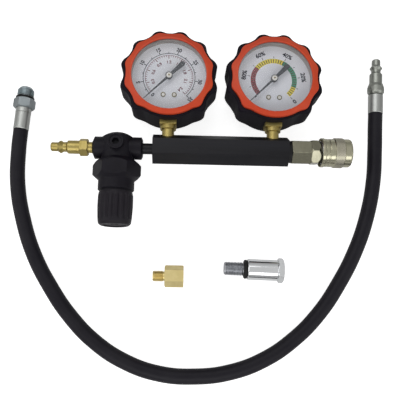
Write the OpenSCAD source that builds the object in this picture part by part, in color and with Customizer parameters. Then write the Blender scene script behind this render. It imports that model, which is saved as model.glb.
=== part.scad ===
// Cylinder leakage tester with its test hose and two loose spark plug hole adapters.
// It lies on its back: +X runs along the manifold, +Y towards the gauges, +Z up from the table.

/* [Manifold] */
// Length of the hexagonal manifold bar beyond each gauge's axis
manifold_over = 12.45; // [11:0.05:20]
// Width of the manifold bar across its flats
manifold_af = 22.2; // [20:0.1:26]
// Radius of the air passage along the manifold
passage_r = 3.4; // [2.5:0.1:4]
// Length of the restrictor that is screwed into the passage
orifice_len = 8; // [5:0.5:12]
// Radius of the calibrated hole in the restrictor
orifice_r = 0.5; // [0.4:0.05:1]
// Half the gap between the lobes of the two rubber boots
boot_apart = 2.35; // [1:0.05:8]
// Height of stem block that shows between its lower face and the boot
stem_show = 3; // [1:0.5:10]

/* [Gauge] */
// Outer radius of the gauge case
case_r = 34; // [32:0.5:35.2]
// Wall of the gauge case
case_wall = 0.8; // [0.6:0.1:1.2]
// Depth of the case behind the stem axis
case_back = 17.2; // [15:0.2:20]
// Depth of the case before the stem axis
case_front = 16.2; // [15.6:0.2:20]
// Thickness of the clear lens
lens_t = 1.4; // [1:0.1:2]
// How far the coloured ring reaches inward over the case's edge
ring_cover = 2.8; // [2.2:0.1:5]
// Thickness of the dial plate
dial_t = 0.8; // [0.5:0.1:1]
// Gap between the dial's face and the lens
dial_room = 6.6; // [6.2:0.1:7]
// Gap between the dial's edge and the case
dial_edge = 0.3; // [0.2:0.1:1]
// Distance of a dial screw from the gauge's middle line
dial_screw_x = 4.65; // [4:0.05:5]
// Distance of the dial screws below the gauge's centre
dial_screw_drop = 15.6; // [14.5:0.1:17]
// Radius of a dial screw's head
dial_screw_r = 2.1; // [1.6:0.1:2.4]
// Length of the pointer from its axis to its tip
pointer_len = 29.2; // [22:0.1:30]
// Length of the pointer's broad tail
pointer_tail = 17.9; // [10:0.1:20]
// Radius of the pointer's hub
pointer_hub_r = 3; // [2:0.1:4]

/* [Gauge stem] */
// Width of the stem's square wrench block
stem_block = 14; // [12:0.5:16]
// Height of the block's lower face above the manifold axis
stem_block_low = 20.3; // [19:0.1:22]
// Radius of the round shoulder under the block
stem_shoulder_r = 6.7; // [6:0.1:6.9]
// Height of the shoulder's lower face above the manifold axis
stem_shoulder_low = 17.1; // [15:0.1:18]
// Radius of the stem's pipe thread
stem_thread_r = 5.15; // [4.8:0.05:5.8]
// Height of the thread's end above the manifold axis
stem_end = 4.6; // [4:0.1:6]
// Radius of the pressure hole in the stem
stem_hole_r = 1.5; // [1:0.1:2]

/* [Gauge movement] */
// Mean radius of the curved pressure tube
tube_r = 22; // [21:0.1:24]
// Depth of the flattened tube, front to back
tube_deep = 9; // [6:0.2:9.6]
// Thickness of the flattened tube
tube_thick = 2.6; // [2:0.1:3]
// Wall of the pressure tube
tube_wall = 0.4; // [0.3:0.05:0.6]
// Gear module of the pinion and the sector
gear_module = 0.25; // [0.24:0.01:0.26]
// Number of teeth on the pinion
pinion_teeth = 10; // [10:1:10]
// Teeth that the sector would have as a full wheel
sector_teeth = 100; // [96:1:104]
// Full sweep of the pointer in degrees
pointer_sweep = 270; // [240:5:270]
// Thickness of the two movement plates
plate_t = 0.8; // [0.6:0.1:1]
// Space between the two movement plates
plate_room = 6.2; // [6:0.1:6.6]
// Radius of the movement's arbors
arbor_r = 0.6; // [0.4:0.05:0.8]
// Distance from the sector's pivot to the link's pin
tail_len = 7; // [6:0.1:8]

/* [Rubber boot] */
// Thickness of the boot's wall between its lobes
boot_valley_t = 4.4; // [4:0.1:6]
// Thickness of the boot's wall at its lobes
boot_lobe_t = 8.2; // [7:0.1:10]
// Thickness of the boot's wall on the plain stretch round the stem
boot_plain_t = 3.2; // [2.6:0.1:4]
// Thickness of the boot's back wall
boot_back_t = 4; // [3:0.1:5]
// Height of the boot's front edge before the stem axis
boot_front = 14.8; // [13.6:0.1:15.4]
// Radius of the hole in the boot's back
boot_hole_r = 11; // [6:0.5:12]
// Width of the coloured ring outside the case, between its lobes
ring_valley_w = 1.9; // [1.5:0.1:3]
// Width of the coloured ring outside the case, at its lobes
ring_lobe_w = 3.8; // [3:0.1:5.4]
// Width of the coloured ring outside the case, on its plain stretch
ring_plain_w = 1.6; // [1.4:0.1:2.4]
// Thickness of the ring's lip over the lens
ring_lip = 1.6; // [1:0.1:2.4]
// Drop of the ring's face from the window to its edge
ring_slope = 2.1; // [1:0.1:2.6]

/* [Regulator] */
// Distance from the regulator's axis to each port face
port_reach = 20.9; // [20:0.1:24]
// Radius of the two port bosses
port_r = 9.4; // [8:0.1:10]
// Radius of the pipe thread in the ports
port_thread_r = 5.15; // [4.8:0.05:5.6]
// Depth of the threaded part of a port
port_depth = 7; // [6:0.1:7.6]
// Visible length of the nipple between regulator and manifold
nipple_gap = 8.4; // [6:0.1:14]
// Radius of the nipple between its threads
nipple_r = 4.6; // [4.2:0.1:5]
// Radius of the nipple's air hole
nipple_hole_r = 2.8; // [2:0.1:3.2]
// Radius of the regulator body
reg_body_r = 13.6; // [13.4:0.1:15]
// Height of the body's domed top above the port axis
dome_top = 13.2; // [12:0.1:16]
// Radius of the dome's curve
dome_curve_r = 20.9; // [20:0.1:26]
// Radius of the gauge port boss on the body
gauge_boss_r = 6.4; // [6:0.1:7]
// Reach of the gauge port bosses, front and back
gauge_boss_reach = 18; // [16:0.1:20]
// Height of the gauge ports above the port axis
gauge_boss_rise = 1; // [0:0.1:2]
// Size of the hexagon socket in the port plugs
plug_socket_af = 5.4; // [4:0.1:5.6]
// Distance from the port axis to the joint of body and bonnet
body_low = 10; // [9.6:0.1:11]
// Width of the hexagonal bonnet across its flats
bonnet_af = 38.4; // [36:0.1:40]
// Length of the bonnet's hexagon with its chamfers
bonnet_hex_len = 18.1; // [16:0.1:22]
// Radius of the bonnet's neck
neck_r = 14.9; // [14:0.1:15.4]
// Length of the bonnet's neck
neck_len = 8.5; // [6:0.1:12]
// Radius of the regulator's valve bore
valve_bore_r = 5; // [4.6:0.1:5.2]
// Lift of the diaphragm and the inlet valve
valve_lift = 0.8; // [0.4:0.1:1]

/* [Adjusting knob] */
// Largest radius of the knob
knob_r = 14.5; // [14.3:0.1:15.5]
// Length of the knob
knob_len = 27.3; // [25:0.1:32]
// Gap between the neck and the knob when the knob is locked
knob_gap = 1.6; // [1:0.1:3]
// Travel of the knob when it is pulled to unlock it
knob_pull = 3; // [2:0.1:4]
// Number of grip flutes round the knob
flute_count = 18; // [12:1:24]
// Radius of one grip flute
flute_r = 1.1; // [0.8:0.1:1.3]
// Radius of the adjusting screw
screw_r = 3; // [2.5:0.1:3.5]
// Rise of the adjusting thread per turn
screw_pitch = 1.25; // [1:0.05:1.5]
// Turns of the adjusting screw
screw_turns = 5; // [3:1:6]
// Wire diameter of the regulating spring
reg_wire = 1.8; // [1.2:0.1:2]

/* [Quick plug] */
// Radius of the plug's tip
tip_r = 3.8; // [3.5:0.05:4]
// Radius of the plug's locking collar
collar_r = 5.45; // [5:0.05:5.6]
// Radius of the groove behind the collar
groove_r = 4.15; // [3.8:0.05:4.4]
// Radius of the plug's body
plug_r = 5.6; // [5.5:0.05:5.75]
// Length of the plug from its tip to its wrench hexagon
plug_len = 24.1; // [22:0.1:27]
// Radius of the air hole in the plugs
plug_hole_r = 2.3; // [1.5:0.1:2.6]
// Width of the inlet plug's wrench hexagon
inlet_af = 13.1; // [12.7:0.1:15]
// Length of the inlet plug's wrench hexagon
inlet_hex_len = 6.7; // [5:0.1:9]
// Visible length of the inlet plug's threaded neck
inlet_neck_len = 3.7; // [2:0.1:6]

/* [Coupler] */
// Thickness of the seal between manifold and coupler
washer_t = 2.7; // [1.5:0.1:4]
// Radius of that seal
washer_r = 9.2; // [9:0.1:9.5]
// Radius of the coupler's pipe thread
coupler_thread_r = 6.6; // [6.4:0.05:6.8]
// Width of the long hexagon across its flats
long_hex_af = 19.05; // [18.8:0.05:20]
// Length of the long hexagon
long_hex_len = 16.1; // [14:0.1:20]
// Width of the short hexagon across its flats
short_hex_af = 19.05; // [18.8:0.05:22]
// Length of the short hexagon
short_hex_len = 8.1; // [7:0.1:10]
// Turn of the long hexagon about the coupler's axis
hex_turn = 17; // [0:1:60]
// Turn of the short hexagon about the coupler's axis
short_hex_turn = 7; // [0:1:60]
// Outer radius of the barrel under the sleeve
barrel_r = 8.6; // [8.4:0.1:8.8]
// Largest radius of the sleeve
sleeve_r = 12.6; // [12.5:0.1:14]
// Length of the sleeve
sleeve_len = 25.5; // [24.5:0.1:30]
// Gap between the short hexagon and the sleeve
sleeve_gap = 0.8; // [0.6:0.1:3]
// Travel of the sleeve when it is pulled back
sleeve_travel = 2.6; // [2.2:0.1:2.7]
// Radius of a locking ball
ball_r = 1.85; // [1.7:0.05:2]
// Number of locking balls
ball_count = 6; // [4:1:8]
// Travel of the coupler's valve
coupler_valve_travel = 3; // [2:0.1:3]

/* [Test hose] */
// Outer diameter of the rubber hose
hose_d = 12.5; // [12:0.1:13.4]
// Height of the crimped ferrules over the hose
ferrule_wall = 0.25; // [0.1:0.05:0.6]
// Length of the ferrule at the spark plug end
ferrule_a_len = 16; // [15:0.5:22]
// Length of the ferrule at the quick plug end
ferrule_b_len = 18; // [15:0.5:22]
// Radius of the spark plug thread
spark_thread_r = 7; // [6:0.5:9]
// Length of the spark plug thread
spark_thread_len = 8.5; // [6:0.5:14]
// Width of the spark plug fitting's hexagon
spark_af = 16; // [15.6:0.1:16]
// Turn of that hexagon about the hose
spark_turn = 45; // [0:1:60]
// Length of the spark plug fitting's hexagon
spark_hex_len = 11.4; // [8:0.1:14]
// Radius of the collar on the hose's quick plug
hose_collar_r = 7.2; // [6.8:0.05:7.2]
// Length of that collar
hose_collar_len = 10; // [7:0.1:12]

/* [Adapters] */
// Radius of the brass adapter's male thread
brass_thread_r = 4.6; // [4:0.1:6]
// Length of the brass adapter's male thread
brass_thread_len = 9.9; // [8:0.1:14]
// Width of the brass adapter across its flats
brass_af = 15.7; // [15.2:0.1:18]
// Length of the brass adapter's hexagon
brass_hex_len = 15.6; // [14:0.1:20]
// Radius of the steel adapter's male thread
steel_thread_r = 5.7; // [5.4:0.1:6.6]
// Length of the steel adapter's male thread
steel_thread_len = 16; // [12:0.5:22]
// Radius of the steel adapter's barrel
steel_barrel_r = 8.65; // [8.4:0.05:8.9]
// Length of the steel adapter's barrel
steel_barrel_len = 25.5; // [20:0.5:35]
// Width of the steel adapter's hexagonal flange
steel_af = 18; // [17.9:0.1:22]
// Length of the steel adapter's hexagonal flange
steel_hex_len = 4.5; // [4:0.1:8]
// Radius of the female spark plug thread in both adapters
female_r = 6.5; // [6.2:0.05:6.7]
// Turn of the steel adapter on the table
steel_turn = -1.5; // [-5:0.1:5]

/* [Fits] */
// Radial clearance of a thread, an arbor or a sliding fit
fit = 0.05; // [0.03:0.01:0.08]
// Clearance between parts that only pass each other
gap = 0.3; // [0.2:0.05:0.4]

/* [Hidden] */
$fn = 48;
left = -1;
right = 1;
root3 = sqrt(3);

// Heights and places along the manifold, from its axis and the middle between the gauges
axis_h = case_back + boot_back_t;
boot_plain_r = case_r + boot_plain_t;
boot_valley_r = case_r + boot_valley_t;
boot_lobe_r = case_r + boot_lobe_t;
ring_plain_r = case_r + ring_plain_w;
ring_valley_r = case_r + ring_valley_w;
ring_lobe_r = case_r + ring_lobe_w;
window_r = case_r - ring_cover;
gauge_gap = 2 * (boot_lobe_r + boot_apart);
gauge_rise = stem_block_low + stem_show + boot_plain_r;
manifold_end = gauge_gap / 2 + manifold_over;
manifold_corner_r = manifold_af / root3;
inner_thread_len = port_depth - 0.5;
reg_x = -manifold_end - nipple_gap - port_reach;
inlet_port_x = reg_x - port_reach;
inlet_tip_x = inlet_port_x - inlet_neck_len - inlet_hex_len - plug_len;

// Coupler stations along +X
coupler_thread_len = 6.5;
long_hex_x = manifold_end + washer_t;
short_hex_x = long_hex_x + long_hex_len;
short_hex_end = short_hex_x + short_hex_len;
sleeve_x = short_hex_end + sleeve_gap;
sleeve_end = sleeve_x + sleeve_len;
barrel_end = sleeve_end + 0.6;
plug_bore_r = plug_r + 0.15;
plug_bore_len = 15.5;
mouth_len = 7.2;
plug_stop_x = barrel_end - plug_bore_len;
tip_bore_r = tip_r + 0.25;
valve_seat_x = plug_stop_x - 7;
valve_chamber_r = 5;
valve_head_t = 1.8;
adapter_thread_end = short_hex_x + short_hex_len - 1.5;
ball_x = plug_stop_x + 6;
ball_ring_r = barrel_r - ball_r;
land_start = ball_x - 2.6;
land_end = ball_x + sleeve_travel - 1.4;
front_land = ball_x + sleeve_travel + 1.5;
snap_ring_t = 1;
snap_x = sleeve_end - 1.6;
relief_r = 9.9;
spring_room_r = 10.7;
lip_room_r = 11.7;
lip_room_len = 3.2;

// Loose adapters on the table, from the manifold's origin
brass_at = [-54.6, -105.1];
steel_at = [4.2, -98];

// The boots' outline: ten lobes thirty degrees apart, and a plain stretch round the stem
lobe_pitch = 30;
first_lobe = 15;
plain_from = 225;
plain_to = 315;
outline_step = 3;
function lobed(a, valley, lobe, plain, sharpness) =
    let (low = a > plain_from && a < plain_to ? plain : valley,
         bare = a > plain_from + lobe_pitch / 2 && a < plain_to - lobe_pitch / 2,
         wave = bare ? 0 : pow((1 + cos(360 / lobe_pitch * (a - first_lobe))) / 2, sharpness))
    low + (lobe - low) * wave;
function outline(valley, lobe, plain, sharpness) =
    [for (a = [0 : outline_step : 360 - outline_step])
        lobed(a, valley, lobe, plain, sharpness) * [cos(a), sin(a)]];
boot_outline = outline(boot_valley_r, boot_lobe_r, boot_plain_r, 1.6);
ring_outline = outline(ring_valley_r, ring_lobe_r, ring_plain_r, 1.5);
boot_top = max([for (p = boot_outline) p.y]);

// The tester's place: the middle of everything but the hose stands over the frame's origin
top_y = gauge_rise + boot_top;
bottom_y = min(brass_at.y - brass_af / root3, steel_at.y - steel_af / root3);
man_x = -(inlet_tip_x + barrel_end) / 2;
man_y = -(top_y + bottom_y) / 2;

// Heights inside a gauge, measured from the stem axis towards the lens
lens_z = case_front;
dial_face_z = lens_z - dial_room;
dial_z = dial_face_z - dial_t;
socket_front = -3;
socket_back = -14;
plate_z = socket_front;
top_plate_z = plate_z + plate_t + plate_room;
post_z = top_plate_z + plate_t;
arbor_low = plate_z + gap;
screw_head_t = 0.5;
pointer_z = lens_z - 3;
pointer_t = 0.5;
hub_z = dial_face_z + 0.5;
hub_top = lens_z - 1.6;
step_r = window_r + 0.2;
tube_z = (socket_front + socket_back) / 2 + 0.3;
socket_half = 8;
socket_top = -14;
tube_root = 257;
tube_tip = -15;

// Gear train of a gauge
pinion_pitch_r = gear_module * pinion_teeth / 2;
sector_pitch_r = gear_module * sector_teeth / 2;
sector_drop = pinion_pitch_r + sector_pitch_r;
tooth_pitch = 360 / sector_teeth;
sector_swing = pointer_sweep * pinion_teeth / sector_teeth;
addendum = 0.75 * gear_module;
dedendum = 1.1 * gear_module;
pinion_z = plate_z + plate_t + 1.6;
pinion_h = 2.8;
sector_z = pinion_z + 0.8;
sector_t = 1.2;
tail_angle = -20;
tail_at = [tail_len * cos(tail_angle), -sector_drop + tail_len * sin(tail_angle)];
tube_end_at = tube_r * [cos(tube_tip), sin(tube_tip)];
tube_pin_at = tube_end_at + [sin(tube_tip), -cos(tube_tip)];
link_t = 0.8;
link_z = sector_z - gap - link_t;
link_pin_r = 0.5;
link_span = norm(tube_pin_at - tail_at);
link_angle = atan2(tube_pin_at.y - tail_at.y, tube_pin_at.x - tail_at.x);
pointer_zero = 225;
plate_half = 6;
plate_low = -26;
upper_pillar = 3.5;
lower_pillar = [5, -22];
pillar_r = 1.2;

// Regulator stations along -Y from the port axis
bonnet_corner_r = min(bonnet_af / root3, axis_h);
bonnet_low = body_low + bonnet_hex_len;
neck_low = bonnet_low + neck_len;
spigot_len = 7.4;
spigot_low = neck_low + spigot_len;
end_wall = 4;
bonnet_bore_r = 10.5;
clamp_r = 12.4;
clamp_len = 2.5;
diaphragm_t = 0.8;
diaphragm_y = body_low + clamp_len;
plate_top = diaphragm_y + diaphragm_t;
reg_plate_t = 1.7;
chamber_floor = spigot_low - end_wall;
knob_top = neck_low + knob_gap;
knob_low = knob_top + knob_len;
knob_cavity = 12.2;
flange_t = 1.5;
nut_t = 3;
nut_low = chamber_floor - flange_t - 2 * gap;
spring_low = nut_low - nut_t;
spring_high = plate_top + reg_plate_t;
seat_half = 1;
poppet_head_t = 2.6;
valve_bore_top = dome_top - 4.2;

// Hose route on the table, by hand, in the frame of the part
hose_r = hose_d / 2;
ferrule_r = hose_r + ferrule_wall;
end_a_h = spark_af / root3 * cos(30 - abs(spark_turn % 60 - 30));
end_b_h = hose_collar_r;
route = [
    [-156.3, 24.6, end_a_h], [-157.2, 6.8, 7.5], [-155.9, -23, hose_r], [-149, -53, hose_r],
    [-138, -82, hose_r], [-123, -108, hose_r], [-105, -132, hose_r], [-84, -152, hose_r],
    [-59.5, -167, hose_r], [-32, -176, hose_r], [-3.5, -178, hose_r], [25, -174.5, hose_r],
    [52.5, -164.5, hose_r], [77, -148.5, hose_r], [98.5, -127.5, hose_r], [116, -103, hose_r],
    [131, -76, hose_r], [142.5, -46.5, hose_r], [150, -15, hose_r], [153.2, 17, 6.4],
    [154.1, 33, 6.8], [155.1, 48, end_b_h]
];
hose_sides = 12;
neck_a = 0.9;
last = len(route) - 1;
angle_a = atan2(route[0].y - route[1].y, route[0].x - route[1].x);
angle_b = atan2(route[last].y - route[last - 1].y, route[last].x - route[last - 1].x);

// Colours
orange = "orangered";
rubber = [0.09, 0.09, 0.10];
black = [0.12, 0.12, 0.13];
brass = [0.80, 0.66, 0.28];
nickel = [0.72, 0.70, 0.62];
zinc = [0.66, 0.68, 0.69];
chrome = [0.80, 0.82, 0.84];
steel = [0.60, 0.61, 0.63];
white = [0.93, 0.93, 0.92];

// Frames that the pieces are drawn in
module tester() translate([man_x, man_y, axis_h]) children();
module gauge(side) tester() translate([side * gauge_gap / 2, gauge_rise, 0]) children();
module regulator() tester() translate([reg_x, 0, 0]) children();
module hose_end_a() translate(route[0]) rotate([0, 0, angle_a]) children();
module hose_end_b() translate(route[last]) rotate([0, 0, angle_b]) children();
module brass_place() tester() translate([brass_at.x, brass_at.y, brass_af / 2 - axis_h]) children();
module steel_place()
    tester() translate([steel_at.x, steel_at.y, steel_af / 2 - axis_h]) rotate([0, 0, steel_turn]) children();

// Shapes turned or drawn about X, and about -Y
module turned_x(profile) rotate([0, 90, 0]) rotate_extrude() polygon(profile);
module rod_x(from, to, r) translate([from, 0, 0]) rotate([0, 90, 0]) cylinder(h = to - from, r = r);
module hex_x(from, to, af)
    translate([from, 0, 0]) rotate([0, 90, 0]) cylinder(h = to - from, r = af / root3, $fn = 6);
module turned_down(profile) rotate([90, 0, 0]) rotate_extrude() polygon(profile);
module rod_down(from, to, r) translate([0, -from, 0]) rotate([90, 0, 0]) cylinder(h = to - from, r = r);
module rod_z(from, to, r) translate([0, 0, from]) cylinder(h = to - from, r = r);

// A hexagon along X whose corners are cut by a cone at each chosen end
module chamfered_hex_x(from, to, af, cut_from, cut_to, slope = 0.6) {
    corner = af / root3;
    intersection() {
        hex_x(from, to, af);
        turned_x([[0, from], [corner - cut_from, from], [corner, from + cut_from * slope],
            [corner, to - cut_to * slope], [corner - cut_to, to], [0, to]]);
    }
}

// Travel of each sliding joint, printed so that the record can follow the source
echo(spring_nut_slide = screw_pitch * screw_turns, diaphragm_lift = valve_lift, knob_pull = knob_pull,
    coupler_sleeve_slide = sleeve_travel, outlet_valve_slide = coupler_valve_travel);

// A coil spring along Z as one unbroken tube
module coil(r, wire, turns, height) {
    rings = round(turns * 14);
    sides = 6;
    lead = (height - wire - 2 * fit) / turns;
    points = [for (i = [0 : rings]) let (a = 360 * turns * i / rings, z = lead * turns * i / rings)
        for (j = [0 : sides - 1]) let (b = 360 / sides * j, out = r + wire / 2 * cos(b))
            [out * cos(a), out * sin(a), z + wire / 2 + fit + wire / 2 * sin(b)]];
    walls = [for (i = [0 : rings - 1]) for (j = [0 : sides - 1])
        let (p = i * sides + j, q = i * sides + (j + 1) % sides)
        each [[p, p + sides, q], [q, p + sides, q + sides]]];
    caps = [for (j = [1 : sides - 2]) each
        [[0, j, j + 1], [rings * sides, rings * sides + j + 1, rings * sides + j]]];
    polyhedron(points, concat(walls, caps));
}

// Manifold
module manifold() color(black) tester() difference() {
    rotate([30, 0, 0]) hex_x(-manifold_end, manifold_end, manifold_af);
    rod_x(-manifold_end - 1, manifold_end + 1, passage_r);
    rod_x(-manifold_end - 1, -manifold_end + port_depth, port_thread_r + fit);
    rod_x(manifold_end - coupler_thread_len - 0.5, manifold_end + 1, coupler_thread_r + fit);
    // Turned a little so that the drilled wall starts off the bar's corner
    for (side = [left, right]) translate([side * gauge_gap / 2, 0, 0]) rotate([0, 25, 0])
        rod_down(-manifold_corner_r - 1, 1.2, stem_thread_r + fit);
}
module orifice() color(brass) tester() difference() {
    rod_x(-orifice_len / 2, orifice_len / 2, passage_r);
    rod_x(-orifice_len, orifice_len, orifice_r);
    translate([orifice_len / 2, 0, 0]) cube([2.4, 1, 2 * passage_r + 1], center = true);
}
module nipple() color(black) tester() difference() {
    union() {
        rod_x(-manifold_end - nipple_gap - 1, -manifold_end + 1, nipple_r);
        rod_x(-manifold_end, -manifold_end + inner_thread_len, port_thread_r);
        rod_x(-manifold_end - nipple_gap - inner_thread_len, -manifold_end - nipple_gap, port_thread_r);
    }
    rod_x(-manifold_end - 2 * nipple_gap - inner_thread_len, 0, nipple_hole_r);
}

// Quick plugs
module plug_nose() turned_x([
    [0, 0], [tip_r - 0.7, 0], [tip_r, 0.8], [tip_r, plug_len * 0.24], [collar_r, plug_len * 0.34],
    [groove_r, plug_len * 0.43], [groove_r, plug_len * 0.54], [plug_r, plug_len * 0.6],
    [plug_r, plug_len], [0, plug_len]
]);
module inlet_plug() color(brass) tester() translate([inlet_tip_x, 0, 0]) {
    hex_end = plug_len + inlet_hex_len;
    neck_end = hex_end + inlet_neck_len;
    difference() {
        union() {
            plug_nose();
            rotate([30, 0, 0]) chamfered_hex_x(plug_len, hex_end, inlet_af, 0.9, 0.9);
            rod_x(hex_end - 1, neck_end, port_thread_r - 0.5);
            rod_x(neck_end, neck_end + inner_thread_len, port_thread_r);
        }
        rod_x(-1, neck_end + inner_thread_len + 1, plug_hole_r);
    }
}

// Gauges
module stem_cut(extra) translate([0, -gauge_rise / 2 - 6, 0])
    cube([stem_block + 2 * extra, gauge_rise - 12, stem_block + 2 * extra], center = true);
module boot() {
    reach = boot_lobe_r + 1;
    difference() {
        intersection() {
            translate([0, 0, -axis_h]) linear_extrude(axis_h + boot_front) polygon(boot_outline);
            rotate_extrude() polygon([
                [0, -axis_h], [boot_plain_r - 5, -axis_h], [boot_plain_r, -axis_h + 3.5],
                [boot_lobe_r - 1, -axis_h + 11], [reach, -axis_h + 15],
                [reach, boot_front - 3.2], [boot_lobe_r - 1.8, boot_front], [0, boot_front]
            ]);
        }
        rod_z(-case_back, boot_front + 1, case_r);
        rod_z(-axis_h - 1, 0, boot_hole_r);
        stem_cut(0.2);
    }
}
module ring() {
    crown = lens_z + lens_t + ring_lip;
    reach = ring_lobe_r + 1;
    intersection() {
        translate([0, 0, boot_front]) linear_extrude(crown - boot_front) polygon(ring_outline);
        rotate_extrude() polygon([
            [case_r + fit, boot_front], [reach, boot_front], [reach, crown - ring_slope - 0.4],
            [window_r + 1, crown], [window_r, crown - 0.2], [window_r, lens_z + lens_t],
            [case_r + fit, lens_z + lens_t]
        ]);
    }
}
module case_shell() difference() {
    rod_z(-case_back, case_front, case_r);
    rod_z(-case_back + case_wall, dial_face_z, case_r - case_wall);
    rod_z(dial_face_z - 1, case_front + 1, step_r);
    stem_cut(0);
}
module lens() rod_z(lens_z, lens_z + lens_t, case_r);
module dial() difference() {
    rod_z(dial_z, dial_face_z, case_r - case_wall - dial_edge);
    rod_z(dial_z - 1, dial_face_z + 1, 2);
    dial_screw_places() rod_z(dial_z - 1, dial_face_z + 1, 1);
}
module dial_screw_places() for (side = [left, right])
    translate([side * dial_screw_x, -dial_screw_drop, 0]) children();
module pointer() rotate([0, 0, pointer_zero]) {
    tail_half = 2.2;
    difference() {
        union() {
            rod_z(pointer_z - 0.5, hub_top, pointer_hub_r);
            rod_z(hub_z, pointer_z, 1.6);
            translate([0, 0, pointer_z]) linear_extrude(pointer_t) union() {
                polygon([[0, -1.1], [pointer_len, -0.25], [pointer_len, 0.25], [0, 1.1]]);
                hull() {
                    translate([-pointer_hub_r, -1.1]) square([pointer_hub_r, 2.2]);
                    translate([tail_half - pointer_tail, 0]) circle(tail_half);
                }
            }
        }
        rod_z(0, lens_z, arbor_r);
    }
}
module gear_tooth(pitch_r, half_root, half_tip) polygon([
    [pitch_r - dedendum - 0.1, -half_root], [pitch_r + addendum, -half_tip],
    [pitch_r + addendum, half_tip], [pitch_r - dedendum - 0.1, half_root]
]);
module pinion() {
    rod_z(arbor_low, hub_top - 0.4, arbor_r);
    rod_z(pinion_z + pinion_h + gap, top_plate_z - gap, 1.1);
    translate([0, 0, pinion_z]) linear_extrude(pinion_h) union() {
        circle(pinion_pitch_r - dedendum);
        for (i = [0 : pinion_teeth - 1]) rotate(-90 + (i + 0.5) * 360 / pinion_teeth)
            gear_tooth(pinion_pitch_r, 0.19, 0.07);
    }
}
module sector() translate([0, -sector_drop, 0]) {
    first = ceil((sector_swing + 4) / tooth_pitch);
    rim = sector_pitch_r - dedendum;
    spread = (first + 1.5) * tooth_pitch;
    rod_z(arbor_low, post_z - gap, arbor_r);
    translate([0, 0, sector_z]) linear_extrude(sector_t) difference() {
        union() {
            circle(1.6);
            intersection() {
                circle(rim);
                polygon([[0, 0], 2 * rim * [cos(90 - spread), sin(90 - spread)],
                    2 * rim * [cos(90 + 1.5 * tooth_pitch), sin(90 + 1.5 * tooth_pitch)]]);
            }
            for (i = [-first : 1]) rotate(90 + i * tooth_pitch) gear_tooth(sector_pitch_r, 0.2, 0.09);
            rotate(tail_angle) {
                translate([0, -1.2]) square([tail_len, 2.4]);
                translate([tail_len, 0]) circle(1.2);
            }
        }
        rotate(tail_angle) translate([tail_len, 0]) circle(link_pin_r + fit);
    }
}
module link() translate([tail_at.x, tail_at.y, 0]) rotate([0, 0, link_angle]) {
    slot_half = link_pin_r + gap;
    slot_run = 2.2;
    rod_z(link_z, sector_z + sector_t + 0.4, link_pin_r);
    translate([0, 0, link_z]) linear_extrude(link_t) difference() {
        union() {
            circle(1.1);
            translate([0, -0.7]) square([link_span - slot_run, 1.4]);
            translate([link_span - slot_run, -slot_half - 0.5])
                square([2 * slot_run, 2 * slot_half + 1]);
            translate([link_span - slot_run, 0]) circle(slot_half + 0.5);
            translate([link_span + slot_run, 0]) circle(slot_half + 0.5);
        }
        translate([link_span - slot_run, -slot_half]) square([2 * slot_run, 2 * slot_half]);
        translate([link_span - slot_run, 0]) circle(slot_half);
        translate([link_span + slot_run, 0]) circle(slot_half);
    }
}
module flat_tube(deep, thick) {
    translate([tube_r - thick / 2, -(deep - thick) / 2]) square([thick, deep - thick]);
    for (end = [-1, 1]) translate([tube_r, end * (deep - thick) / 2]) circle(thick / 2);
}
module tube_sweep(deep, thick) translate([0, 0, tube_z]) rotate([0, 0, tube_tip])
    rotate_extrude(angle = tube_root - tube_tip) flat_tube(deep, thick);
module pressure_tube() {
    difference() {
        tube_sweep(tube_deep, tube_thick);
        tube_sweep(tube_deep - 2 * tube_wall, tube_thick - 2 * tube_wall);
    }
    rotate([0, 0, tube_tip]) translate([tube_r - tube_thick / 2, -2, tube_z - tube_deep / 2])
        cube([tube_thick, 2.2, tube_deep]);
    translate([tube_end_at.x, tube_end_at.y, 0]) {
        rotate([0, 0, tube_tip]) translate([-1, -2, tube_z]) cube([2, 2, link_z - gap - tube_z]);
        rotate([0, 0, tube_tip]) translate([0, -1, 0]) rod_z(tube_z, link_z + link_t + 0.5, link_pin_r);
    }
}
module stem() difference() {
    union() {
        translate([-stem_block / 2, stem_block_low - gauge_rise, -stem_block / 2])
            cube([stem_block, gauge_rise - stem_block_low - case_r + 5, stem_block]);
        translate([-socket_half, 2.4 - case_r, socket_back])
            cube([2 * socket_half, socket_top + case_r - 2.4, socket_front - socket_back]);
        rod_down(gauge_rise - stem_block_low, gauge_rise - stem_shoulder_low, stem_shoulder_r);
        rod_down(gauge_rise - stem_shoulder_low, gauge_rise - stem_end, stem_thread_r);
    }
    rod_down(case_r - 5, gauge_rise, stem_hole_r);
    translate([0, 5 - case_r, 0]) rod_z(tube_z, 0, 1.2);
    translate([0, 0, tube_z]) rod_down(22, case_r - 5, 1.2);
    translate([0, -22, tube_z]) rod_x(-6, 0, 1);
    tube_sweep(tube_deep, tube_thick);
}
module movement() {
    difference() {
        for (z = [plate_z, top_plate_z]) translate([0, 0, z]) linear_extrude(plate_t) union() {
            translate([-plate_half, plate_low]) square([2 * plate_half, -plate_low]);
            circle(plate_half + 0.4);
        }
        rod_z(plate_z - 1, post_z + 1, arbor_r + fit);
        translate([0, -sector_drop, 0]) rod_z(plate_z - 1, post_z + 1, arbor_r + fit);
    }
    for (side = [left, right]) {
        translate([side * upper_pillar, upper_pillar, 0]) rod_z(plate_z + plate_t, top_plate_z, pillar_r);
        translate([side * lower_pillar.x, lower_pillar.y, 0])
            rod_z(plate_z + plate_t, top_plate_z, pillar_r);
    }
    dial_screw_places() difference() {
        rod_z(post_z, dial_z, 1.8);
        rod_z(dial_z - 2.5, dial_z + 1, 0.9);
    }
}
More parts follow.
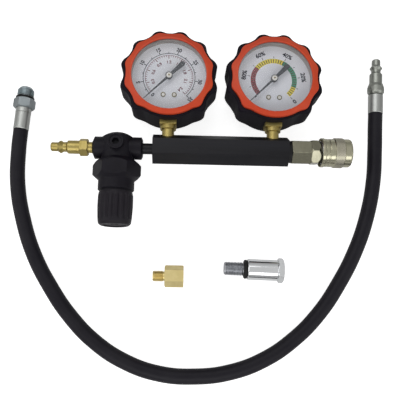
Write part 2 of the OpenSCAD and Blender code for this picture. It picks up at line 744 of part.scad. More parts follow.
module hairspring() {
    turns = 3;
    steps = 16;
    half = 0.1;
    inner = 1.1 + gap;
    lead = (2 * upper_pillar * 0.7 - pillar_r - inner - gap) / turns;
    spiral = [for (i = [0 : turns * steps]) let (a = 45 + 360 * i / steps)
        (inner + lead * i / steps) * [cos(a), sin(a)]];
    outside = [for (p = spiral) p * (norm(p) + half) / norm(p)];
    inside = [for (i = [len(spiral) - 1 : -1 : 0]) spiral[i] * (norm(spiral[i]) - half) / norm(spiral[i])];
    translate([0, 0, top_plate_z - gap - 0.7]) linear_extrude(0.6) polygon(concat(outside, inside));
    stud = norm(spiral[len(spiral) - 1]);
    rotate([0, 0, 45]) translate([stud - half, -0.4, top_plate_z - gap - 0.7])
        cube([upper_pillar * sqrt(2) - pillar_r - stud + half, 0.8, 0.6]);
}
module left_boot() color(rubber) gauge(left) boot();
module left_ring() color(orange) gauge(left) ring();
module left_case() color(steel) gauge(left) case_shell();
module left_lens() color([0.85, 0.90, 0.92, 0.35]) gauge(left) lens();
module left_dial() color(white) gauge(left) dial();
module left_pointer() color(black) gauge(left) pointer();
module left_pinion() color(steel) gauge(left) pinion();
module left_movement() color(brass) gauge(left) movement();
module left_sector() color(brass) gauge(left) sector();
module left_link() color(steel) gauge(left) link();
module left_pressure_tube() color(brass) gauge(left) pressure_tube();
module left_stem() color(brass) gauge(left) stem();
module right_boot() color(rubber) gauge(right) boot();
module right_ring() color(orange) gauge(right) ring();
module right_case() color(steel) gauge(right) case_shell();
module right_lens() color([0.85, 0.90, 0.92, 0.35]) gauge(right) lens();
module right_dial() color(white) gauge(right) dial();
module right_pointer() color(black) gauge(right) pointer();
module right_pinion() color(steel) gauge(right) pinion();
module right_movement() color(brass) gauge(right) movement();
module right_sector() color(brass) gauge(right) sector();
module right_link() color(steel) gauge(right) link();
module right_pressure_tube() color(brass) gauge(right) pressure_tube();
module right_stem() color(brass) gauge(right) stem();
module dial_screws() color(chrome) for (side = [left, right]) gauge(side) dial_screw_places() {
    rod_z(dial_z - 2, dial_face_z, 0.9);
    difference() {
        rod_z(dial_face_z, dial_face_z + screw_head_t, dial_screw_r);
        translate([0, 0, dial_face_z + screw_head_t]) cube([5, 0.5, 0.5], center = true);
    }
}
module hairsprings() color(brass) for (side = [left, right]) gauge(side) hairspring();

// Regulator
module regulator_body() color(black) regulator() difference() {
    chamfer = [4.2, 2];
    union() {
        intersection() {
            rod_down(-dome_top, body_low, reg_body_r);
            translate([0, dome_top - dome_curve_r, 0]) sphere(dome_curve_r);
        }
        rod_down(body_low, diaphragm_y, clamp_r);
        turned_x([[0, -port_reach], [port_r - chamfer.x, -port_reach], [port_r, chamfer.y - port_reach],
            [port_r, port_reach - chamfer.y / 2], [port_r - chamfer.x / 2, port_reach], [0, port_reach]]);
        translate([0, gauge_boss_rise, 0]) rod_z(-gauge_boss_reach, gauge_boss_reach, gauge_boss_r);
    }
    for (side = [left, right]) {
        rotate([0, 0, side > 0 ? 0 : 180])
            rod_x(port_reach - port_depth, port_reach + 1, port_thread_r + fit);
        rotate([0, 0, side > 0 ? 0 : 180]) translate([0, -3.2, 0]) rod_x(0, port_reach - 2, 1.5);
        translate([0, gauge_boss_rise, 0]) mirror([0, 0, side > 0 ? 0 : 1]) {
            rod_z(gauge_boss_reach - 8, gauge_boss_reach + 1, port_thread_r);
            translate([0, -3.6, 0]) rod_z(0, gauge_boss_reach - 7, 1.2);
        }
    }
    rod_down(-valve_bore_top, diaphragm_y, valve_bore_r);
    rod_down(body_low - 3, diaphragm_y + 1, bonnet_bore_r);
}
module regulator_port_plugs() color(black) regulator() translate([0, gauge_boss_rise, 0])
    for (face = [0, 1]) mirror([0, 0, face]) difference() {
        rod_z(gauge_boss_reach - 7.8, gauge_boss_reach - 0.8, port_thread_r);
        translate([0, 0, gauge_boss_reach - 4.8]) cylinder(h = 5, r = plug_socket_af / root3, $fn = 6);
    }
module regulator_bonnet() color(black) regulator() difference() {
    rise = bonnet_corner_r - reg_body_r - 0.3;
    drop = bonnet_corner_r - neck_r;
    union() {
        intersection() {
            rotate([0, 30, 0]) translate([0, -body_low, 0]) rotate([90, 0, 0])
                cylinder(h = bonnet_hex_len, r = bonnet_af / root3, $fn = 6);
            turned_down([[0, body_low], [reg_body_r + 0.3, body_low],
                [bonnet_corner_r, body_low + 0.87 * rise], [bonnet_corner_r, bonnet_low - 0.87 * drop],
                [neck_r, bonnet_low], [0, bonnet_low]]);
        }
        turned_down([[0, bonnet_low - 1], [neck_r, bonnet_low - 1], [neck_r, neck_low - 0.6],
            [neck_r - 0.6, neck_low], [knob_bore_r() - gap, neck_low],
            [knob_bore_r() - gap, spigot_low], [0, spigot_low]]);
    }
    rod_down(body_low - 1, plate_top, clamp_r + fit);
    rod_down(body_low, chamber_floor, bonnet_bore_r);
    rod_down(body_low, spigot_low + 1, screw_r + fit);
}
function knob_bore_r() = knob_r - 1.35;
module regulator_knob() color(black) regulator() difference() {
    end_r = knob_r - 2.2;
    turned_down([[0, knob_top], [knob_r - 0.8, knob_top], [knob_r - 0.1, knob_top + 3],
        [knob_r, knob_top + 12], [knob_r - 0.5, knob_low - 6], [knob_r - 1, knob_low - 2],
        [end_r, knob_low - 0.4], [end_r - 0.6, knob_low], [end_r - 2.6, knob_low],
        [end_r - 3, knob_low - 0.8], [3.4, knob_low - 0.8], [3, knob_low - 0.3], [0, knob_low - 0.3]]);
    rod_down(knob_top - 1, knob_top + knob_cavity, knob_bore_r());
    rod_down(knob_top, knob_low - 4, screw_r + fit);
    for (i = [0 : flute_count - 1]) rotate([0, (i + 0.5) * 360 / flute_count, 0])
        translate([knob_r + flute_r - 0.55, 0, 0]) rod_down(knob_top + 2.4, knob_low - 4.8, flute_r);
}
module adjusting_screw() color(steel) regulator() {
    rod_down(spring_high + 2, knob_low - 5, screw_r);
    rod_down(chamber_floor - gap - flange_t, chamber_floor - gap, screw_r + 2.5);
    rod_down(spigot_low + gap, spigot_low + gap + 0.8, screw_r + 1.2);
}
module spring_nut() color(brass) regulator() difference() {
    rod_down(nut_low - nut_t, nut_low, bonnet_bore_r - gap);
    rod_down(nut_low - nut_t - 1, nut_low + 1, screw_r + fit);
}
module regulating_spring() color(steel) regulator() translate([0, -spring_low, 0]) rotate([-90, 0, 0])
    coil(7.4, reg_wire, 4.5, spring_low - spring_high);
module diaphragm() color(rubber) regulator() rod_down(diaphragm_y, diaphragm_y + diaphragm_t, clamp_r);
module diaphragm_plate() color(steel) regulator() {
    rod_down(plate_top, plate_top + reg_plate_t, 8.8);
    rod_down(plate_top + reg_plate_t, plate_top + reg_plate_t + 1.6, 5.6);
}
module valve_seat() color(brass) regulator() difference() {
    rod_down(-seat_half, seat_half, valve_bore_r);
    rod_down(-seat_half - 1, seat_half + 1, 1.8);
}
module valve_poppet() color(brass) regulator() {
    rod_down(-seat_half - poppet_head_t, -seat_half, 3.2);
    rod_down(-seat_half, diaphragm_y, 1);
    rod_down(-seat_half - poppet_head_t - 1.8, -seat_half - poppet_head_t, 1.6);
}
module valve_spring() color(steel) regulator()
    translate([0, seat_half + poppet_head_t, 0]) rotate([-90, 0, 0])
        coil(2.5, 0.6, 4, valve_bore_top - seat_half - poppet_head_t);

// Coupler
module coupler_washer() color(rubber) tester() difference() {
    rod_x(manifold_end, manifold_end + washer_t, washer_r);
    rod_x(manifold_end - 1, manifold_end + washer_t + 1, coupler_thread_r);
}
module coupler_adapter() color(nickel) tester() difference() {
    union() {
        rod_x(manifold_end - coupler_thread_len, long_hex_x + 1, coupler_thread_r);
        rotate([hex_turn, 0, 0]) chamfered_hex_x(long_hex_x, short_hex_x, long_hex_af, 0.9, 0.5);
        rod_x(short_hex_x - 1, adapter_thread_end, coupler_thread_r);
    }
    rod_x(manifold_end - coupler_thread_len - 1, adapter_thread_end + 1, passage_r);
}
module coupler_barrel() color(nickel) tester() difference() {
    union() {
        rotate([short_hex_turn, 0, 0])
            chamfered_hex_x(short_hex_x, short_hex_end, short_hex_af, 0.9, 1.6, 1.6);
        rod_x(short_hex_end - 1, barrel_end, barrel_r);
    }
    rod_x(short_hex_x - 1, adapter_thread_end, coupler_thread_r + fit);
    rod_x(short_hex_x, valve_seat_x, valve_chamber_r);
    rod_x(short_hex_x, plug_stop_x + 1, tip_bore_r);
    rod_x(plug_stop_x, barrel_end + 1, plug_bore_r);
    rod_x(barrel_end - mouth_len, barrel_end + 1, plug_bore_r + 0.25);
    rod_x(plug_stop_x - 4, plug_stop_x - 2, tip_bore_r + 1.4);
    for (i = [0 : ball_count - 1]) rotate([(i + 0.5) * 360 / ball_count, 0, 0])
        translate([ball_x, 0, 0]) rod_z(0, barrel_r + 1, ball_r + fit);
    difference() {
        rod_x(snap_x, snap_x + snap_ring_t, barrel_r + 1);
        rod_x(snap_x - 1, snap_x + 2, barrel_r - 0.5);
    }
}
module coupler_sleeve() color(nickel) tester() {
    band = sleeve_x + 11.2;
    band_end = sleeve_x + 19.1;
    waist_r = sleeve_r - 0.7;
    turned_x([
        [lip_room_r, sleeve_x], [sleeve_r - 0.5, sleeve_x], [sleeve_r - 0.2, sleeve_x + 0.4],
        [sleeve_r - 0.2, sleeve_x + 2.6], [waist_r, sleeve_x + 3.1],
        [waist_r, sleeve_x + 5.6], [waist_r - 0.4, sleeve_x + 5.9], [waist_r - 0.4, sleeve_x + 6.7],
        [waist_r, sleeve_x + 7], [waist_r, band - 0.5], [sleeve_r, band],
        [sleeve_r, band_end - 0.5], [sleeve_r - 0.6, band_end], [sleeve_r - 0.6, sleeve_end - 1.5],
        [sleeve_r - 1.2, sleeve_end - 0.4], [sleeve_r - 2, sleeve_end], [relief_r, sleeve_end],
        [relief_r, snap_x - 0.1], [barrel_r + fit, snap_x - 0.1], [barrel_r + fit, front_land],
        [relief_r, front_land], [relief_r, land_end], [barrel_r + fit, land_end],
        [barrel_r + fit, land_start], [spring_room_r, land_start],
        [spring_room_r, sleeve_x + lip_room_len + 1], [lip_room_r, sleeve_x + lip_room_len]
    ]);
}
module sleeve_spring() color(steel) tester() translate([short_hex_end, 0, 0]) rotate([0, 90, 0])
    coil(9.65, 0.9, 4, land_start - short_hex_end);
module snap_ring() color(steel) tester() difference() {
    rod_x(snap_x, snap_x + snap_ring_t, relief_r - gap);
    rod_x(snap_x - 1, snap_x + 2, barrel_r - 0.5);
    translate([snap_x, 0, -relief_r]) cube([4, 2, 6], center = true);
}
module locking_balls() color(chrome) tester() for (i = [0 : ball_count - 1])
    rotate([(i + 0.5) * 360 / ball_count, 0, 0]) translate([ball_x, 0, ball_ring_r]) sphere(ball_r);
module coupler_valve() color(brass) tester() difference() {
    union() {
        rod_x(valve_seat_x - valve_head_t, valve_seat_x, valve_chamber_r - gap);
        rod_x(valve_seat_x, valve_seat_x + 2.5, tip_bore_r - 2 * gap);
    }
    rod_x(valve_seat_x + 0.8, valve_seat_x + 4, 2);
    translate([valve_seat_x + 1.6, 0, 0]) cube([1.2, 3 * tip_bore_r, 1.6], center = true);
}
module coupler_valve_spring() color(steel) tester() translate([adapter_thread_end, 0, 0])
    rotate([0, 90, 0]) coil(4.1, 0.6, 3, valve_seat_x - valve_head_t - adapter_thread_end);
module coupler_seal() color(rubber) tester() difference() {
    rod_x(plug_stop_x - 4, plug_stop_x - 2, tip_bore_r + 1.4);
    rod_x(plug_stop_x - 5, plug_stop_x - 1, tip_bore_r - 0.1);
}

// Test hose: one swept tube through the route's points, and its end fittings
module hose() color(rubber) {
    ring_dir = [for (i = [0 : last]) let (d = route[min(i + 1, last)] - route[max(i - 1, 0)])
        [d.x, d.y, 0] / norm([d.x, d.y])];
    points = [for (i = [0 : last]) for (j = [0 : hose_sides - 1])
        let (a = 360 / hose_sides * j, across = [ring_dir[i].y, -ring_dir[i].x, 0])
        route[i] + hose_r * (cos(a) * across + sin(a) * [0, 0, 1])];
    walls = [for (i = [0 : last - 1]) for (j = [0 : hose_sides - 1])
        let (p = i * hose_sides + j, q = i * hose_sides + (j + 1) % hose_sides)
        each [[p, q, p + hose_sides], [q, q + hose_sides, p + hose_sides]]];
    caps = [for (j = [1 : hose_sides - 2]) each
        [[0, j + 1, j], [last * hose_sides, last * hose_sides + j, last * hose_sides + j + 1]]];
    polyhedron(points, concat(walls, caps));
}
module ferrule(length) turned_x([
    [0, 0], [ferrule_r - 0.3, 0], [ferrule_r, 0.5], [ferrule_r, length - 1.2],
    [ferrule_r - 0.8, length], [0, length]
]);
module hose_ferrules() color(zinc) {
    hose_end_a() ferrule(ferrule_a_len);
    hose_end_b() ferrule(ferrule_b_len);
}
module hose_plug() color(zinc) hose_end_b() difference() {
    collar_end = ferrule_b_len + hose_collar_len;
    union() {
        turned_x([
            [0, ferrule_b_len], [hose_collar_r - 1, ferrule_b_len],
            [hose_collar_r - 0.5, ferrule_b_len + 1.4],
            [hose_collar_r, ferrule_b_len + 2.2], [hose_collar_r, collar_end - 3],
            [hose_collar_r - 1, collar_end], [0, collar_end]
        ]);
        translate([collar_end + plug_len * 0.99, 0, 0]) mirror([1, 0, 0]) plug_nose();
    }
    rod_x(ferrule_b_len + 1, collar_end + plug_len + 1, plug_hole_r);
}
module spark_plug_fitting() color(zinc) hose_end_a() difference() {
    hex_at = ferrule_a_len + neck_a;
    hex_end = hex_at + spark_hex_len;
    face = hex_end + 1.7;
    tip = face + spark_thread_len;
    union() {
        rod_x(ferrule_a_len, hex_at + 1, ferrule_r - 1);
        rotate([spark_turn, 0, 0]) chamfered_hex_x(hex_at, hex_end, spark_af, 2, 0.8);
        rod_x(hex_end - 1, face + 1, spark_thread_r - 0.8);
        turned_x([[0, face], [spark_thread_r, face], [spark_thread_r, tip - 1.2],
            [spark_thread_r - 1.2, tip], [0, tip]]);
    }
    rod_x(ferrule_a_len + 1, tip + 1, plug_hole_r);
}
module spark_fitting_o_ring() color(rubber) hose_end_a()
    translate([ferrule_a_len + neck_a + spark_hex_len + 0.85, 0, 0]) rotate([0, 90, 0])
        rotate_extrude() translate([spark_thread_r + 0.05, 0]) circle(0.8);

// Loose adapters
module brass_adapter() color(brass) brass_place() difference() {
    hex_end = brass_thread_len + brass_hex_len;
    union() {
        turned_x([[0, 0], [brass_thread_r - 0.7, 0], [brass_thread_r, 0.9],
            [brass_thread_r, brass_thread_len], [0, brass_thread_len]]);
        rotate([30, 0, 0]) chamfered_hex_x(brass_thread_len - 0.01, hex_end, brass_af, 1, 0.5);
    }
    rod_x(-1, hex_end, 2.2);
    rod_x(hex_end - brass_hex_len * 0.7, hex_end + 1, female_r);
}
module steel_adapter() color(chrome) steel_place() difference() {
    seat = steel_thread_len + 3.4;
    barrel_end_x = seat + steel_barrel_len;
    hex_end = barrel_end_x + steel_hex_len;
    union() {
        turned_x([[0, 0], [steel_thread_r - 0.8, 0], [steel_thread_r, 1], [steel_thread_r, steel_thread_len],
            [steel_thread_r - 0.8, steel_thread_len], [steel_thread_r - 0.8, seat + 1], [0, seat + 1]]);
        turned_x([[0, seat], [steel_barrel_r - 0.6, seat], [steel_barrel_r, seat + 0.6],
            [steel_barrel_r, barrel_end_x], [0, barrel_end_x]]);
        rotate([30, 0, 0]) chamfered_hex_x(barrel_end_x - 0.01, hex_end, steel_af, 0.8, 1.2);
    }
    rod_x(-1, hex_end, 2.4);
    rod_x(hex_end - 14, hex_end + 1, female_r);
}
module steel_adapter_o_ring() color(rubber) steel_place()
    translate([steel_thread_len + 1.9, 0, 0]) rotate([0, 90, 0])
        rotate_extrude() translate([steel_thread_r + 0.75, 0]) circle(1.5);

manifold();
orifice();
nipple();
inlet_plug();
left_boot();
left_ring();
left_case();
left_lens();
left_dial();
left_pointer();
left_pinion();
left_movement();
left_sector();
left_link();
left_pressure_tube();
left_stem();
right_boot();
right_ring();
right_case();
right_lens();
right_dial();
right_pointer();
right_pinion();
right_movement();
right_sector();
right_link();
right_pressure_tube();
right_stem();
dial_screws();
hairsprings();
regulator_body();
regulator_port_plugs();
regulator_bonnet();
regulator_knob();
adjusting_screw();
spring_nut();
regulating_spring();
diaphragm();
diaphragm_plate();
valve_seat();
valve_poppet();
valve_spring();
coupler_washer();
coupler_adapter();
coupler_barrel();
coupler_sleeve();
sleeve_spring();
snap_ring();
locking_balls();
coupler_valve();
coupler_valve_spring();
coupler_seal();
hose();
hose_ferrules();
hose_plug();
spark_plug_fitting();
spark_fitting_o_ring();
brass_adapter();
steel_adapter();
steel_adapter_o_ring();
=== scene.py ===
import math
import bmesh
import bpy
from mathutils import Matrix, Vector


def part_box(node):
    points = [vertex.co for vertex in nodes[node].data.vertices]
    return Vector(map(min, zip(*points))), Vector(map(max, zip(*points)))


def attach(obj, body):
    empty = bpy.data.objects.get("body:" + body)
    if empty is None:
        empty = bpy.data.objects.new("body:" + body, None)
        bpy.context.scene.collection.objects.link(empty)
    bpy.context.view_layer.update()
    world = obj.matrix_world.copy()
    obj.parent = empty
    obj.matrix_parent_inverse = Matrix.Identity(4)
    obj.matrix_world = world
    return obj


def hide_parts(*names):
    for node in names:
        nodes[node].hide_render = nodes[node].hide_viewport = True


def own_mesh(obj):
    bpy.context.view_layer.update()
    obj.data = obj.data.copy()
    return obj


# Cylinder leakage tester lying on its back, with its test hose and two loose adapters
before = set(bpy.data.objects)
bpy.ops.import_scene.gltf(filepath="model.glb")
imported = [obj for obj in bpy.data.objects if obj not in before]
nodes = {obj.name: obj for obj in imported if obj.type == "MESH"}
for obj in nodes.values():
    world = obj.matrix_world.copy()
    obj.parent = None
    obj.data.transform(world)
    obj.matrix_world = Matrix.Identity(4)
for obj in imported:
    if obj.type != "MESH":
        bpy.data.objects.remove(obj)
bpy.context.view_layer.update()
scene = bpy.context.scene
mm = 0.001

# Places that the pieces share: a point, and for pieces along X their turn in degrees as well
place = {
    "manifold": Vector((15.45, 6.451, 21.2)) * mm,
    "gaugeGap": 89.1 * mm,
    "gaugeRise": 60.5 * mm,    # from the manifold's line to a gauge's centre
    "hoseStart": (Vector((-156.3, 24.6, 8.923)) * mm, 87.1055),
    "hoseEnd": (Vector((155.1, 48, 7.2)) * mm, 86.1859),
    "brassAdapter": (Vector((-39.15, -98.649, 7.85)) * mm, 0),
    "steelAdapter": (Vector((19.65, -91.549, 9)) * mm, -1.5),
    "regulator": (Vector((-70.85, 6.451, 21.2)) * mm, -90),
}
sides = {"left": -1, "right": 1}


def gaugeCentre(side):
    return place["manifold"] + Vector((sides[side] * place["gaugeGap"] / 2, place["gaugeRise"], 0))


def alongX(spot):
    point, degrees = spot
    return Matrix.Translation(point) @ Matrix.Rotation(math.radians(degrees), 4, "Z")


def newObject(name, data):
    added = bpy.data.objects.new(name, data)
    scene.collection.objects.link(added)
    return added


def meshOf(name, bm):
    mesh = bpy.data.meshes.new(name)
    bm.to_mesh(mesh)
    bm.free()
    return mesh


# Camera at the photograph's place
camera = {
    "at": Vector((-16.245, -126.704, 456.812)) * mm,
    "target": Vector((-1.266, -36.557, 21.2)) * mm,
    "focalPixels": 537.92,
    "framePixels": 400,
    "sensor": 36,
    "nearest": 0.01,
    "roll": 0.01298,
}
forward = (camera["target"] - camera["at"]).normalized()
right = forward.cross(Vector((0, 1, 0))).normalized()
up = right.cross(forward)
turned = right * math.cos(camera["roll"]) + up * math.sin(camera["roll"])
up = up * math.cos(camera["roll"]) - right * math.sin(camera["roll"])
cameraData = bpy.data.cameras.new("photoCamera")
cameraData.sensor_fit = "HORIZONTAL"
cameraData.sensor_width = camera["sensor"]
cameraData.lens = camera["focalPixels"] / camera["framePixels"] * camera["sensor"]
cameraData.clip_start = camera["nearest"]
cameraObject = newObject("photoCamera", cameraData)
turn = Matrix((turned, up, -forward)).transposed().to_4x4()
cameraObject.matrix_world = Matrix.Translation(camera["at"]) @ turn
scene.camera = cameraObject
scene.view_settings.view_transform = "Standard"


# Materials: every finish starts from one principled shader with two tones and a fine bump
def newFinish(name, colour, metallic, roughness, specular=0.5):
    material = bpy.data.materials.new(name)
    material.use_nodes = True
    shader = material.node_tree.nodes["Principled BSDF"]
    shader.inputs["Base Color"].default_value = (*colour, 1)
    shader.inputs["Metallic"].default_value = metallic
    shader.inputs["Roughness"].default_value = roughness
    shader.inputs["Specular IOR Level"].default_value = specular
    return material, material.node_tree, shader


def objectCoords(tree, scale=(1, 1, 1), turnBy=(0, 0, 0)):
    coords = tree.nodes.new("ShaderNodeTexCoord")
    mapping = tree.nodes.new("ShaderNodeMapping")
    mapping.inputs["Scale"].default_value = scale
    mapping.inputs["Rotation"].default_value = turnBy
    tree.links.new(coords.outputs["Object"], mapping.inputs["Vector"])
    return mapping.outputs["Vector"]


def noiseOn(tree, vector, scale, detail=3.0, roughness=0.5):
    noise = tree.nodes.new("ShaderNodeTexNoise")
    noise.inputs["Scale"].default_value = scale
    noise.inputs["Detail"].default_value = detail
    noise.inputs["Roughness"].default_value = roughness
    tree.links.new(vector, noise.inputs["Vector"])
    return noise.outputs["Fac"]


def twoTones(tree, factor, first, second, low=0.35, high=0.65):
    ramp = tree.nodes.new("ShaderNodeValToRGB")
    ramp.color_ramp.elements[0].position = low
    ramp.color_ramp.elements[0].color = (*first, 1)
    ramp.color_ramp.elements[1].position = high
    ramp.color_ramp.elements[1].color = (*second, 1)
    tree.links.new(factor, ramp.inputs["Fac"])
    return ramp.outputs["Color"]


def rangeOf(tree, factor, low, high):
    spread = tree.nodes.new("ShaderNodeMapRange")
    spread.inputs["To Min"].default_value = low
    spread.inputs["To Max"].default_value = high
    tree.links.new(factor, spread.inputs["Value"])
    return spread.outputs["Result"]


def bumpFrom(tree, factor, shader, strength, distance):
    bump = tree.nodes.new("ShaderNodeBump")
    bump.inputs["Strength"].default_value = strength
    bump.inputs["Distance"].default_value = distance
    tree.links.new(factor, bump.inputs["Height"])
    tree.links.new(bump.outputs["Normal"], shader.inputs["Normal"])
    return bump


# What a finish has unless its row says otherwise; patches and grain are noise scales, edge is in mm
usual = {"metallic": 0, "stretch": (1, 1, 1), "grain": 900, "specular": 0.5, "wear": 0.25, "edge": 0.25}
detail = {"patches": 4, "grain": 2, "grainDepth": 0.05, "edgeSamples": 4}
# Scuffs are thin worn streaks that are lighter and duller
scuff = {"stretch": (1, 5, 3), "turn": (0.3, 0.2, 0.7), "scale": 260, "detail": 6, "roughness": 0.7,
         "from": 0.60, "full": 0.74, "duller": 0.1}


def grainedFinish(name, row):
    look = {**usual, "worn": row["second"], **row}
    material, tree, shader = newFinish(name, look["colour"], look["metallic"], look["rough"][0],
                                       look["specular"])
    vector = objectCoords(tree, look["stretch"])
    patches = noiseOn(tree, vector, look["patches"], detail["patches"])
    grain = noiseOn(tree, vector, look["grain"], detail["grain"])
    tones = twoTones(tree, patches, look["colour"], look["second"])
    streaks = noiseOn(tree, objectCoords(tree, scuff["stretch"], scuff["turn"]), scuff["scale"],
                      scuff["detail"], scuff["roughness"])
    mask = twoTones(tree, streaks, (0, 0, 0), (1, 1, 1), scuff["from"], scuff["full"])
    share = rangeOf(tree, mask, 0, look["wear"])
    mix = tree.nodes.new("ShaderNodeMix")
    mix.data_type = "RGBA"
    tree.links.new(share, mix.inputs["Factor"])
    tree.links.new(tones, mix.inputs["A"])
    mix.inputs["B"].default_value = (*look["worn"], 1)
    tree.links.new(mix.outputs["Result"], shader.inputs["Base Color"])
    rough = tree.nodes.new("ShaderNodeMath")
    rough.operation = "MULTIPLY_ADD"
    tree.links.new(mask, rough.inputs[0])
    rough.inputs[1].default_value = scuff["duller"]
    tree.links.new(rangeOf(tree, patches, *look["rough"]), rough.inputs[2])
    tree.links.new(rough.outputs[0], shader.inputs["Roughness"])
    bump = bumpFrom(tree, grain, shader, look["bump"], detail["grainDepth"] * mm)
    # softened edges
    edge = tree.nodes.new("ShaderNodeBevel")
    edge.samples = detail["edgeSamples"]
    edge.inputs["Radius"].default_value = look["edge"] * mm
    tree.links.new(edge.outputs["Normal"], bump.inputs["Normal"])
    return material


